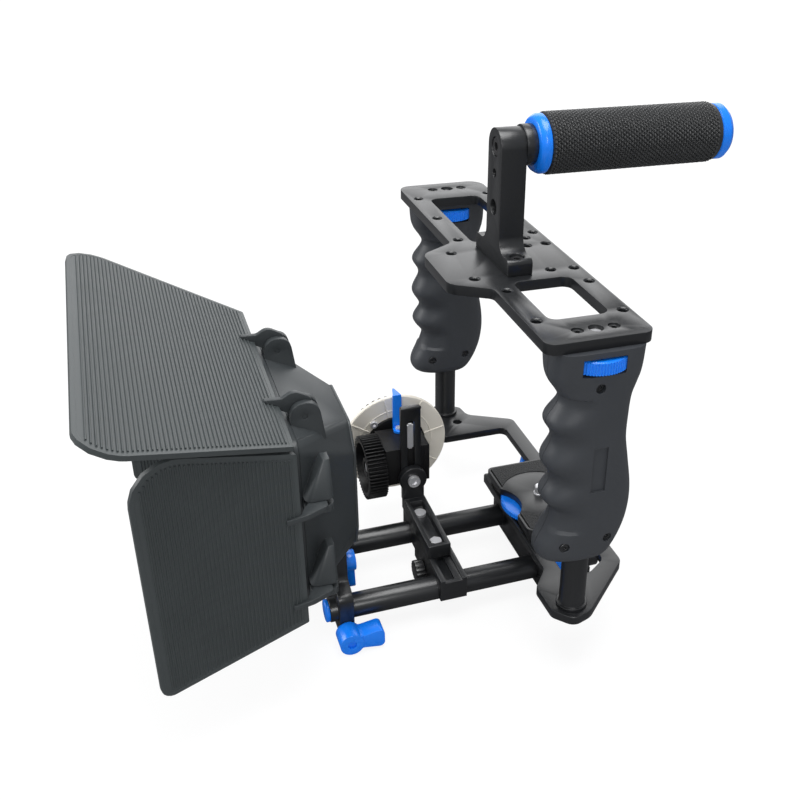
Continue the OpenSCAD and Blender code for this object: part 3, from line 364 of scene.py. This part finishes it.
def grip_section(x, drop, side, around=30):
    """Half of the grip's outline at one height, from its front seam to its rear seam."""
    front, rear = eased(front_line, drop), eased(back_line, drop)
    closing = max(0.02, 1 - ((drop - closing_drop) / closing_mm) ** 2)
    shrink = 1 if drop < closing_drop else math.sqrt(closing)
    fingers = fingers_from < drop < fingers_to
    hollow = max(0.0, finger_peak - front) / finger_mm if fingers else 0
    boxy = max(0.0, 1 - drop / block_drop)
    row = []
    for k in range(around + 1):
        angle = math.pi * k / around
        ahead = angle < math.pi / 2
        power = 2 / (front_round + front_boxy * boxy if ahead else rear_round + rear_boxy * boxy)
        along = -math.cos(angle)
        y = math.copysign(abs(along) ** power, along) * (front if along < 0 else rear) / 1000
        fade = max(0.0, 1 - angle / finger_turn) ** finger_fade
        full = abs(math.sin(angle)) ** power * grip_half * shrink
        out = full * (1 - finger_cut * fade * hollow)
        row.append(Vector((x + side * (out + seam_half), pillar_y + y, top_under - drop / 1000)))
    return row


straight_rows, row_step = 82, 1.5


def grip_body(name, x, side):
    """One closed half of a grip, from the top plate down to its rounded lower end."""
    drops = [0, 0.6] + [2 + row_step * k for k in range(straight_rows)]
    drops += [124.8, 126, 127.2, 128.3, 129.2, 129.8, 130]
    shape = bmesh.new()
    rows = [[shape.verts.new(p) for p in grip_section(x, d, side)] for d in drops]
    for low, high in zip(rows, rows[1:]):
        for k in range(len(low) - 1):
            shape.faces.new((low[k], low[k + 1], high[k + 1], high[k]))
        shape.faces.new((low[0], high[0], high[-1], low[-1]))
    shape.faces.new(rows[0])
    shape.faces.new(rows[-1])
    bmesh.ops.recalc_face_normals(shape, faces=shape.faces)
    return bpy.data.objects.new(name, as_mesh(name, shape))


def tool_block(low, high):
    """A block between two corners, to be cut out of a body."""
    shape = bmesh.new()
    bmesh.ops.create_cube(shape, size=1)
    for v in shape.verts:
        v.co = Vector([(low[i] + high[i]) / 2 + v.co[i] * (high[i] - low[i]) for i in range(3)])
    return bpy.data.objects.new("tool", as_mesh("tool", shape))


def tool_round(centre, radius, length, axis, sides=48):
    """A round bar along one axis, to be cut out of a body."""
    shape = bmesh.new()
    bmesh.ops.create_cone(shape, cap_ends=True, segments=sides, radius1=radius, radius2=radius,
                          depth=length)
    turn = {"X": Matrix.Rotation(math.pi / 2, 4, "Y"), "Z": Matrix.Identity(4)}[axis]
    bmesh.ops.transform(shape, matrix=Matrix.Translation(centre) @ turn, verts=shape.verts)
    return bpy.data.objects.new("tool", as_mesh("tool", shape))


def cut(body, tools):
    """The body's mesh with each tool taken out of it."""
    shown = bpy.context.scene.collection.objects
    shown.link(body)
    for tool in tools:
        shown.link(tool)
        step = body.modifiers.new("cut", "BOOLEAN")
        step.operation, step.solver, step.object = "DIFFERENCE", "EXACT", tool
    mesh = bpy.data.meshes.new_from_object(
        body.evaluated_get(bpy.context.evaluated_depsgraph_get()))
    for thing in [body, *tools]:
        bpy.data.objects.remove(thing)
    return mesh


def sunk(face, side, depth, past, ys, zs):
    """A block that goes into a side face by depth and stands past it outside."""
    inside, outside = face - side * depth, face + side * past
    return tool_block((min(inside, outside), ys[0], zs[0]), (max(inside, outside), ys[1], zs[1]))


wheel_z = top_under - 0.0081
window_y, window_z, window_depth, window_past = (-0.0127, 0.0107), 0.0049, 0.006, 0.004
pocket_r, pocket_h, bore_r, bore_mid, bore_len = 0.0189, 0.0082, 0.0076, 0.07, 0.16
label_y, label_drop, label_depth, label_past = (-0.0026, 0.0054), (0.082, 0.055), 0.0011, 0.003
screw_places = ((-0.0022, 0.020), (-0.0142, 0.116), (0.0102, 0.1135))
screw_bore_r, screw_bore_len = 0.0027, 0.0072
for node, x, side, outer in (
        ("near_grip_outer", near_x, 1, True), ("near_grip_inner", near_x, -1, False),
        ("far_grip_outer", far_x, -1, True), ("far_grip_inner", far_x, 1, False)):
    face = x + side * grip_half
    tools = [sunk(face, side, window_depth, window_past, [pillar_y + y for y in window_y],
                  (wheel_z - window_z, wheel_z + window_z)),
             tool_round((x, pillar_y, wheel_z), pocket_r, pocket_h, "Z", 64),
             tool_round((x, pillar_y, top_under - bore_mid), bore_r, bore_len, "Z")]
    if outer:
        tools.append(sunk(face, side, label_depth, label_past, [pillar_y + y for y in label_y],
                          [top_under - drop for drop in label_drop]))
    for y, drop in screw_places:
        tools.append(tool_round((face, pillar_y + y, top_under - drop), screw_bore_r,
                                screw_bore_len, "X", 32))
    piece = placed(node + "_moulding", cut(grip_body(node + "_blank", x, side), tools), moulded,
                   "cage", smooth=28)
    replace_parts(piece, node)


# Grip screws: black socket heads sunk in the grips, and two more at each end of the top
# plate. Their hexagon sockets show only as a dark point.
socket_wall, seam_gap = (1, 2), 1e-6


def socket_head(place, turn, radius, height):
    """The head of a cap screw, with its hexagon socket, at a place and turned there."""
    shape = bmesh.new()
    profile = [(0, height * 0.35), (radius * 0.52, height * 0.35), (radius * 0.55, height * 0.96),
               (radius * 0.9, height), (radius, height * 0.88), (radius, 0), (0, 0)]
    sides = 24
    rings = []
    for k in range(sides):
        a = 2 * math.pi * k / sides
        hexagon = math.cos(math.pi / 6) / math.cos((a % (math.pi / 3)) - math.pi / 6)
        ring = []
        for i, (r, z) in enumerate(profile):
            pull = hexagon if i in socket_wall else 1
            ring.append(shape.verts.new((r * math.cos(a) * pull, r * math.sin(a) * pull, z)))
        rings.append(ring)
    for k in range(sides):
        one, two = rings[k], rings[(k + 1) % sides]
        for i in range(len(profile) - 1):
            shape.faces.new((one[i], one[i + 1], two[i + 1], two[i]))
    bmesh.ops.remove_doubles(shape, verts=shape.verts, dist=seam_gap)
    bmesh.ops.recalc_face_normals(shape, faces=shape.faces)
    bmesh.ops.transform(shape, matrix=Matrix.Translation(place) @ turn, verts=shape.verts)
    return as_mesh("head", shape)


def joined(name, meshes, material, body, smooth=35):
    """Several meshes set in the scene as one piece."""
    shape = bmesh.new()
    for mesh in meshes:
        shape.from_mesh(mesh)
        bpy.data.meshes.remove(mesh)
    return placed(name, as_mesh(name, shape), material, body, smooth)


heads = []
seat_x, grip_head = 0.0122, (0.0025, 0.0016)
plate_seat_z, plate_screw_y, plate_head = 0.1611, 0.010, (0.0031, 0.0026)
for x in (near_x, far_x):
    for out in (1, -1):
        for y, drop in screw_places:
            heads.append(socket_head((x + out * seat_x, pillar_y + y, top_under - drop),
                                     Matrix.Rotation(out * math.pi / 2, 4, "Y"), *grip_head))
    for y in (-plate_screw_y, plate_screw_y):
        heads.append(socket_head((x, pillar_y + y, plate_seat_z), Matrix.Identity(4),
                                 *plate_head))
screws = joined("grip_screw_heads", heads, anodised, "cage")
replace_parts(screws, "grip_screws")


# Thumbwheels: blue anodised wheels with a fine straight knurl, each on the lifting screw
# that raises the cage on its pillar.
def points_mesh(name, places, turns, sizes):
    """Loose points, each with a turn and a size for the stud that stands on it."""
    mesh = bpy.data.meshes.new(name)
    mesh.from_pydata(places, [], [])
    for label, rows in (("turn", turns), ("size", sizes)):
        held = mesh.attributes.new(label, "FLOAT_VECTOR", "POINT")
        for k, row in enumerate(rows):
            held.data[k].vector = row
    return mesh


def stud_tree(name, build):
    """A tree that sets one stud on each point, by the point's own turn and size."""
    tree = bpy.data.node_groups.new(name, "GeometryNodeTree")
    tree.interface.new_socket("Points", in_out="INPUT", socket_type="NodeSocketGeometry")
    for label in ("Width", "Length", "Height"):
        tree.interface.new_socket(label, in_out="INPUT", socket_type="NodeSocketFloat")
    tree.interface.new_socket("Finish", in_out="INPUT", socket_type="NodeSocketMaterial")
    tree.interface.new_socket("Studs", in_out="OUTPUT", socket_type="NodeSocketGeometry")
    start, end = tree.nodes.new("NodeGroupInput"), tree.nodes.new("NodeGroupOutput")
    stud = build(tree, start)
    spread = tree.nodes.new("GeometryNodeInstanceOnPoints")
    tree.links.new(start.outputs["Points"], spread.inputs["Points"])
    tree.links.new(stud, spread.inputs["Instance"])
    for label, socket in (("turn", "Rotation"), ("size", "Scale")):
        held = tree.nodes.new("GeometryNodeInputNamedAttribute")
        held.data_type = "FLOAT_VECTOR"
        held.inputs["Name"].default_value = label
        tree.links.new(held.outputs["Attribute"], spread.inputs[socket])
    real = tree.nodes.new("GeometryNodeRealizeInstances")
    coat = tree.nodes.new("GeometryNodeSetMaterial")
    tree.links.new(spread.outputs[0], real.inputs[0])
    tree.links.new(real.outputs[0], coat.inputs["Geometry"])
    tree.links.new(start.outputs["Finish"], coat.inputs["Material"])
    tree.links.new(coat.outputs[0], end.inputs[0])
    return tree


bar_sides, pyramid_top = 10, 0.18


def round_bar(tree, start):
    """A half-round bar along X, one unit long, that stands on the XY plane."""
    line = tree.nodes.new("GeometryNodeCurvePrimitiveLine")
    line.inputs["Start"].default_value = (-0.5, 0, 0)
    line.inputs["End"].default_value = (0.5, 0, 0)
    ring = tree.nodes.new("GeometryNodeCurvePrimitiveCircle")
    ring.inputs["Resolution"].default_value = bar_sides
    half = times(tree, start.outputs["Width"], 0.5)
    tree.links.new(half, ring.inputs["Radius"])
    sweep = tree.nodes.new("GeometryNodeCurveToMesh")
    sweep.inputs["Fill Caps"].default_value = True
    tree.links.new(line.outputs[0], sweep.inputs["Curve"])
    tree.links.new(ring.outputs[0], sweep.inputs["Profile Curve"])
    flat = tree.nodes.new("GeometryNodeTransform")
    sizes = tree.nodes.new("ShaderNodeCombineXYZ")
    ratio = tree.nodes.new("ShaderNodeMath")
    ratio.operation = "DIVIDE"
    tree.links.new(start.outputs["Height"], ratio.inputs[0])
    tree.links.new(half, ratio.inputs[1])
    tree.links.new(start.outputs["Length"], sizes.inputs["X"])
    sizes.inputs["Y"].default_value = 1
    tree.links.new(ratio.outputs[0], sizes.inputs["Z"])
    tree.links.new(sweep.outputs[0], flat.inputs["Geometry"])
    tree.links.new(sizes.outputs[0], flat.inputs["Scale"])
    return flat.outputs[0]


def pyramid(tree, start):
    """A four-sided stud that stands on the XY plane, with its top cut flat."""
    cone = tree.nodes.new("GeometryNodeMeshCone")
    cone.inputs["Vertices"].default_value = 4
    for end, share in (("Radius Bottom", 0.5), ("Radius Top", pyramid_top)):
        tree.links.new(times(tree, start.outputs["Width"], share), cone.inputs[end])
    tree.links.new(start.outputs["Height"], cone.inputs["Depth"])
    flat = tree.nodes.new("GeometryNodeTransform")
    sizes = tree.nodes.new("ShaderNodeCombineXYZ")
    tree.links.new(start.outputs["Length"], sizes.inputs["X"])
    sizes.inputs["Y"].default_value = 1
    sizes.inputs["Z"].default_value = 1
    tree.links.new(cone.outputs[0], flat.inputs["Geometry"])
    tree.links.new(sizes.outputs[0], flat.inputs["Scale"])
    return flat.outputs[0]


bar_tree, knurl_tree = stud_tree("round_bars", round_bar), stud_tree("knurl_studs", pyramid)


def studded(tree, points, width, length, height, material):
    """The studs of one tree on a set of points, as a plain mesh."""
    carrier = bpy.data.objects.new("carrier", points)
    bpy.context.scene.collection.objects.link(carrier)
    step = carrier.modifiers.new("studs", "NODES")
    step.node_group = tree
    socket = {item.name: item.identifier for item in tree.interface.items_tree
              if item.item_type == "SOCKET" and item.in_out == "INPUT"}
    step[socket["Width"]] = width
    step[socket["Length"]] = length
    step[socket["Height"]] = height
    step[socket["Finish"]] = material
    mesh = bpy.data.meshes.new_from_object(
        carrier.evaluated_get(bpy.context.evaluated_depsgraph_get()))
    bpy.data.objects.remove(carrier)
    return mesh


sliver = 1e-7


def turned(profile, centre, axis, sides=64):
    """A solid of revolution from (radius, height) points, closed at both ends."""
    shape = bmesh.new()
    lie = {"X": Matrix.Rotation(math.pi / 2, 4, "Y"), "Y": Matrix.Rotation(-math.pi / 2, 4, "X"),
           "Z": Matrix.Identity(4)}[axis]
    rings = []
    for k in range(sides):
        a = 2 * math.pi * k / sides
        rings.append([shape.verts.new((r * math.cos(a), r * math.sin(a), h)) for r, h in profile])
    for k in range(sides):
        one, two = rings[k], rings[(k + 1) % sides]
        for i in range(len(profile)):
            j = (i + 1) % len(profile)
            shape.faces.new((one[i], one[j], two[j], two[i]))
    bmesh.ops.remove_doubles(shape, verts=shape.verts, dist=seam_gap)
    bmesh.ops.dissolve_degenerate(shape, edges=shape.edges, dist=sliver)
    bmesh.ops.recalc_face_normals(shape, faces=shape.faces)
    bmesh.ops.transform(shape, matrix=Matrix.Translation(centre) @ lie, verts=shape.verts)
    return as_mesh("turned", shape)


def rim_points(centre, radius, count, length):
    """Points for straight knurl bars around a wheel: each bar lies along Z."""
    places, turns = [], []
    for k in range(count):
        a = 2 * math.pi * k / count
        places.append((centre[0] + radius * math.cos(a), centre[1] + radius * math.sin(a),
                       centre[2]))
        turns.append((0, -math.pi / 2, a))
    return points_mesh("rim", places, turns, [(length, 1, 1)] * count)


blue = finish("blue_anodised", (0.004, 0.22, 1.0), 0.26, grain_mm=0.15, relief=0.05, tone=0.06,
              edge=0.15, coat=0.2)
wheel_r, wheel_half, wheel_bore, wheel_face_r, wheel_band = 0.0178, 0.00375, 0.0039, 0.0172, 0.0032
wheel_ribs, rib_len, rib_wide, rib_high = 72, 0.0066, 0.0011, 0.00055
lift_r, lift_low, lift_high = 0.0038, -0.0800, 0.0121
for node, x in (("near_thumbwheel", near_x), ("far_thumbwheel", far_x)):
    centre = (x, pillar_y, wheel_z)
    wheel = turned([(wheel_bore, -wheel_half), (wheel_face_r, -wheel_half),
                    (wheel_r, -wheel_band), (wheel_r, wheel_band), (wheel_face_r, wheel_half),
                    (wheel_bore, wheel_half)], centre, "Z")
    ribs = studded(bar_tree, rim_points(centre, wheel_r, wheel_ribs, rib_len), rib_wide, 1,
                   rib_high, blue)
    rod = turned([(0, lift_low), (lift_r, lift_low), (lift_r, 0.0115), (0.0032, lift_high),
                  (0, lift_high)], centre, "Z", 32)
    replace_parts(joined(node + "_knurled", [wheel, ribs], blue, node), node)
    joined(node + "_screw", [rod], bright_steel, node)


# Top plate: 6 mm aluminium with two milled windows, a nose in front and rows of 1/4 inch
# holes whose rims are countersunk and catch the light.
machined(anodised, "top_plate", edge=0.0007)


# Top handle: a milled post bolted on the plate, and a shouldered core that carries a blue
# collar, a sleeve of knurled rubber and a blue end cap.
machined(anodised, "handle_post", edge=0.0006)
painted(dark_steel, "handle_screws")
machined(anodised, "handle_core", edge=0.0004)
axis_x, axis_z, core_r = -0.002, 0.2293, 0.0095
collar_y, collar_r, collar_len = -0.017, 0.0160, 0.0060
collar = turned([(core_r, 0), (0.0138, 0), (0.0144, 0.0004), (0.0156, 0.0022),
                 (collar_r, 0.0032), (collar_r, 0.0054), (0.0155, collar_len),
                 (core_r, collar_len)], (axis_x, collar_y, axis_z), "Y", 96)
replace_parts(joined("handle_collar_turned", [collar], blue, "cage"),
            "handle_collar")
cap_y, cap_r, cap_len = 0.0935, 0.0156, 0.0075
cap = turned([(0, 0), (0.0150, 0), (cap_r, 0.0006), (cap_r, 0.0050), (0.0136, cap_len),
              (0, cap_len)], (axis_x, cap_y, axis_z), "Y", 96)
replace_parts(joined("handle_cap_turned", [cap], blue, "cage"),
            "handle_cap")
rubber = finish("knurled_rubber", (0.019, 0.020, 0.021), 0.34, grain_mm=0.3, relief=0.12,
                edge=0.5, specular=0.8)
sleeve_r, sleeve_y0, sleeve_len, sleeve_edge = 0.0159, -0.0105, 0.1040, 0.0008
pitch, lap, knurl_start, knurl_len, knurl_high = 0.0031, 0.0023, 0.0013, 0.1015, 0.0009
core = turned([(core_r, 0), (sleeve_r - sleeve_edge, 0), (sleeve_r, sleeve_edge),
               (sleeve_r, 0.1032), (sleeve_r - sleeve_edge, sleeve_len), (core_r, sleeve_len)],
              (axis_x, sleeve_y0, axis_z), "Y", 96)
places, turns = [], []
around = round(2 * math.pi * sleeve_r / lap)
for row in range(int(knurl_len / (pitch / 2))):
    for k in range(around):
        a = 2 * math.pi * (k + 0.5 * (row % 2)) / around
        places.append((axis_x + sleeve_r * math.sin(a),
                       sleeve_y0 + knurl_start + row * pitch / 2,
                       axis_z + sleeve_r * math.cos(a)))
        turns.append((0, a, 0))
knurl = studded(knurl_tree, points_mesh("knurl", places, turns, [(1, 1, 1)] * len(places)),
                lap, pitch / lap, knurl_high, rubber)
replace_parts(joined("handle_sleeve_knurled", [core, knurl], rubber, "cage",
                   smooth=20), "handle_sleeve")


# Rod clamp, camera plate and rods: black milled blocks under a plate with rough rubber
# pads. The wheel under the plate turns the camera screw.
machined(anodised, "rod_clamp", "plate_base", "camera_plate", edge=0.0005)
pad_rubber = finish("grained_rubber", (0.028, 0.029, 0.030), 0.7, grain_mm=1.1, relief=0.9,
                    tone=0.3, edge=0.05, specular=0.5)
painted(pad_rubber, "plate_pads")
machined(blue, "near_clamp_knob", "far_clamp_lever", edge=0.0005)
machined(tube_black, "near_rod", "far_rod", edge=0.0004)
machined(blue, "rod_caps", edge=0.0006)
dial_z, dial_r, dial_t, dial_face_r = -0.0087, 0.0246, 0.0039, 0.0240
dial = turned([(0, 0), (dial_face_r, 0), (dial_r, 0.0006), (dial_r, 0.0033),
               (dial_face_r, dial_t), (0, dial_t)], (0, 0, dial_z), "Z", 96)
dial_ribs, dial_rib_z, dial_rib_r, dial_rib_len = 90, -0.00675, 0.0245, 0.0032
dial_rib_wide, dial_rib_high = 0.0012, 0.0005
dial_points = rim_points((0, 0, dial_rib_z), dial_rib_r, dial_ribs, dial_rib_len)
ribs = studded(bar_tree, dial_points, dial_rib_wide, 1, dial_rib_high, blue)
joined_wheel = joined("camera_wheel_knurled", [dial, ribs], blue, "camera_wheel")
stem_low, stem_r, stem_top = -0.0048, 0.00377, 0.0055
stem = turned([(0, stem_low), (stem_r, stem_low), (stem_r, 0), (0.0030, 0.0003),
               (0.0031, 0.0049), (0.0025, stem_top), (0, stem_top)], (0, 0, 0), "Z", 32)
joined("camera_screw_thread", [stem], bright_steel, "camera_wheel")
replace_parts(joined_wheel, "camera_wheel")


# Rod bracket and wing knobs: the bracket hangs the matte box on the rods, and two blue wing
# knobs clamp it there.
machined(anodised, "box_bracket", edge=0.0006)
machined(blue, "lower_wing_knob", "upper_wing_knob", edge=0.0006)


# Matte box: a moulded hood with a front frame and a rear rim, all in grey-black nylon with
# a fine grain. The hinge pins are moulded rods of the same nylon.
hood = finish("hood_nylon", (0.042, 0.048, 0.051), 0.4, grain_mm=0.2, relief=0.12, tone=0.08,
              edge=0.05, specular=0.5)
machined(hood, "box_shell", "box_frame", edge=0.0005)
machined(hood, "box_rim", edge=0.0003)
painted(hood, "hinge_pins")


# Flags: ribbed alloy plates with a plain border. Each hangs on two sprung clips and folds
# over the mouth of the box.
tightest, border_inset = 0.0008, 0.0032


def filleted(corners, inset, steps=6):
    """A closed outline from (across, along, radius) corners, moved inwards by inset."""
    count = len(corners)
    lines = []
    for k in range(count):
        a, b = Vector(corners[k][:2]), Vector(corners[(k + 1) % count][:2])
        run = (b - a).normalized()
        lines.append((a + Vector((-run.y, run.x)) * inset, run))
    rim = []
    for k in range(count):
        (p, d), (q, e) = lines[k - 1], lines[k]
        meet = p + d * ((q - p).cross(e) / d.cross(e))
        radius = max(corners[k][2] - inset, tightest)
        half = math.acos(max(-1, min(1, (-d).dot(e)))) / 2
        reach = radius / math.tan(half)
        start, stop = meet - d * reach, meet + e * reach
        hub = meet + (e - d).normalized() * (radius / math.sin(half))
        for i in range(steps + 1):
            arm = (start - hub).lerp(stop - hub, i / steps).normalized() * radius
            rim.append(hub + arm)
    return rim


def flag_mesh(corners, low, high, band=0.0022, lip=0.00015):
    """A flat plate with a raised border on both faces, in (across, along, up)."""
    shape = bmesh.new()
    outer, inner = filleted(corners, 0), filleted(corners, band)
    levels = [(outer, low - lip), (inner, low - lip), (inner, low), (inner, high),
              (inner, high + lip), (outer, high + lip)]
    rings = [[shape.verts.new((p.x, p.y, h)) for p in rim] for rim, h in levels]
    count = len(outer)
    for one, two in ((0, 1), (1, 2), (3, 4), (4, 5), (5, 0)):
        for k in range(count):
            j = (k + 1) % count
            shape.faces.new((rings[one][k], rings[one][j], rings[two][j], rings[two][k]))
    shape.faces.new(rings[2])
    shape.faces.new(rings[3])
    bmesh.ops.recalc_face_normals(shape, faces=shape.faces)
    return as_mesh("plate", shape)


def crossed(corners, along):
    """Where a line at one distance along the flag crosses its inner border."""
    rim = filleted(corners, border_inset)
    hits = []
    for k in range(len(rim)):
        a, b = rim[k], rim[(k + 1) % len(rim)]
        if (a.y - along) * (b.y - along) < 0:
            hits.append(a.x + (b.x - a.x) * (along - a.y) / (b.y - a.y))
    return min(hits), max(hits)


rib_pitch, rib_width, rib_height, rib_start, rib_end = 0.0021, 0.0010, 0.0008, 0.0040, 0.0042


def ribbed_flag(name, corners, low, high, place, mirrored=False):
    """A flag with its border and, inside it, one rib after another on both faces."""
    along = min(c[1] for c in corners) + rib_start
    last = max(c[1] for c in corners) - rib_end
    places, turns, sizes = [], [], []
    while along < last:
        left, right = crossed(corners, along)
        for level, flip in ((high, 0), (low, math.pi)):
            places.append(((left + right) / 2, along, level))
            turns.append((flip, 0, 0))
            sizes.append((right - left, 1, 1))
        along += rib_pitch
    ribs = studded(bar_tree, points_mesh("ribs", places, turns, sizes), rib_width, 1,
                   rib_height, flag_paint)
    whole = bmesh.new()
    for mesh in (flag_mesh(corners, low, high), ribs):
        whole.from_mesh(mesh)
    bmesh.ops.transform(whole, matrix=place, verts=whole.verts)
    if mirrored:
        bmesh.ops.scale(whole, vec=(-1, 1, 1), verts=whole.verts)
        bmesh.ops.reverse_faces(whole, faces=whole.faces)
    piece = placed(name + "_ribbed", as_mesh(name, whole), flag_paint, body_of[name],
                   smooth=30)
    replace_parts(piece, name)


flag_paint = finish("flag_paint", (0.052, 0.061, 0.063), 0.40, grain_mm=0.2, relief=0.12,
                    edge=0.12, specular=0.55)
hinge_y, top_hinge_z, side_hinge_x, top_tilt, side_swing = -0.157, 0.1103, 0.070, -22, 15
top_faces, side_faces = (-0.0021, 0.0003), (0.0066, 0.0090)
top_corners = [(-0.082, 0.0132, 0.001), (0.082, 0.0132, 0.001), (0.126, 0.1152, 0.016),
               (-0.126, 0.1152, 0.016)]
top_place = (Matrix.Translation((0, hinge_y, top_hinge_z))
             @ Matrix.Rotation(math.radians(top_tilt), 4, "X")
             @ Matrix.Rotation(math.pi, 4, "Z"))
ribbed_flag("top_flag", top_corners, *top_faces, top_place)
side_corners = [(0.006, 0.0144, 0.001), (0.1115, 0.0144, 0.001), (0.136, 0.0954, 0.020),
                (-0.006, 0.0954, 0.006)]
side_axes = Matrix(((0, 0, 1, 0), (0, -1, 0, 0), (1, 0, 0, 0), (0, 0, 0, 1)))
side_place = (Matrix.Translation((side_hinge_x, hinge_y, 0))
              @ Matrix.Rotation(math.radians(side_swing), 4, "Z") @ side_axes)
ribbed_flag("near_flag", side_corners, *side_faces, side_place)
ribbed_flag("far_flag", side_corners, *side_faces, side_place, mirrored=True)
machined(hood, "top_flag_arms", "near_flag_arms", "far_flag_arms", edge=0.0004)


# Focus rail and arm: a clamp on both rods, a sliding arm with its two screws, and a slotted
# upright that the gearbox tilts and slides on.
machined(anodised, "focus_rail", "focus_arm", edge=0.0004)
machined(rubber, "rail_knob", edge=0.0004)
painted(bright_steel, "arm_bolts", "tilt_screw")
machined(anodised, "tilt_bracket", edge=0.0004)


# Gearbox: a nylon case with a lid, a moulded drive gear that meets the lens ring, and steel
# shafts with bevel gears inside.
nylon = finish("black_nylon", (0.006, 0.006, 0.0065), 0.42, grain_mm=0.3, relief=0.15,
               edge=0.12, specular=0.35)
machined(nylon, "gearbox_case", "gearbox_cover", edge=0.0005)
machined(nylon, "drive_gear", edge=0.0002)
painted(bright_steel, "hand_shaft", "gear_shaft", "pointer_screw")


# Hand wheel: a cream marking disc with raised radial marks and one ring, held by a flange,
# and the black knurled wheel behind it. The blue pointer bends over the disc's edge.
axle_y, axle_z, disc_face = -0.075, 0.0052, -0.080
disc_r, disc_t, disc_bore = 0.0365, 0.003, 0.0041
mark_count, mark_first, mark_inner, mark_outer = 8, 12, 0.0215, disc_r - 0.0010
cream = finish("cream_plastic", (0.90, 0.85, 0.75), 0.4, grain_mm=0.4, relief=0.08, tone=0.05,
               edge=0.1, specular=0.4)
disc = turned([(disc_bore, -disc_t), (disc_r - 0.0006, -disc_t), (disc_r, -0.0025),
               (disc_r, -0.0005), (disc_r - 0.0006, 0), (disc_bore, 0)],
              (disc_face, axle_y, axle_z), "X", 128)
ring = turned([(0.0255, -0.0004), (0.0257, 0.0003), (0.0262, 0.0003), (0.0264, -0.0004)],
              (disc_face, axle_y, axle_z), "X", 128)
mark_wide, mark_high = 0.0011, 0.0006
places, turns, sizes = [], [], []
outwards = Vector((1, 0, 0))
mid = (mark_inner + mark_outer) / 2
for k in range(mark_count):
    a = math.radians(360 / mark_count * k + mark_first)
    spoke = Vector((0, math.cos(a), math.sin(a)))
    lie = Matrix((spoke, outwards.cross(spoke), outwards)).transposed()
    places.append((disc_face, axle_y + mid * math.cos(a), axle_z + mid * math.sin(a)))
    turns.append(tuple(lie.to_euler()))
    sizes.append((mark_outer - mark_inner, 1, 1))
marks = studded(bar_tree, points_mesh("marks", places, turns, sizes), mark_wide, 1, mark_high,
                cream)
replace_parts(joined("marking_disc_marked", [disc, ring, marks], cream, "hand_wheel",
                   smooth=30), "marking_disc")
screw_sunk, screw_ahead, screw_above, disc_head = 0.0002, 0.015, 0.0177, (0.0026, 0.0022)
disc_screw = socket_head((disc_face - screw_sunk, axle_y - screw_ahead, axle_z + screw_above),
                         Matrix.Rotation(math.pi / 2, 4, "Y"), *disc_head)
joined("marking_disc_screw", [disc_screw], bright_steel, "hand_wheel")
machined(nylon, "hand_wheel", "hand_wheel_flange", edge=0.0003)
machined(blue, "pointer", edge=0.0003)


# Slot guide: a bright steel strip in the upright's slot, fixed to the gearbox, which keeps
# the case straight as it slides. Its long ends are rounded.
guide_middle, guide_size = (-0.04465, -0.0745, 0.0311), (0.0013, 0.0040, 0.0186)
guide_round = 0.0009
strip = bmesh.new()
bmesh.ops.create_cube(strip, size=1)
for v in strip.verts:
    v.co = Vector([m + c * size for m, c, size in zip(guide_middle, v.co, guide_size)])
across = [e for e in strip.edges if abs(e.verts[0].co.x - e.verts[1].co.x) > guide_round]
bmesh.ops.bevel(strip, geom=across, offset=guide_round, segments=4, affect="EDGES")
joined("slot_guide", [as_mesh("guide", strip)], bright_steel, "gearbox")
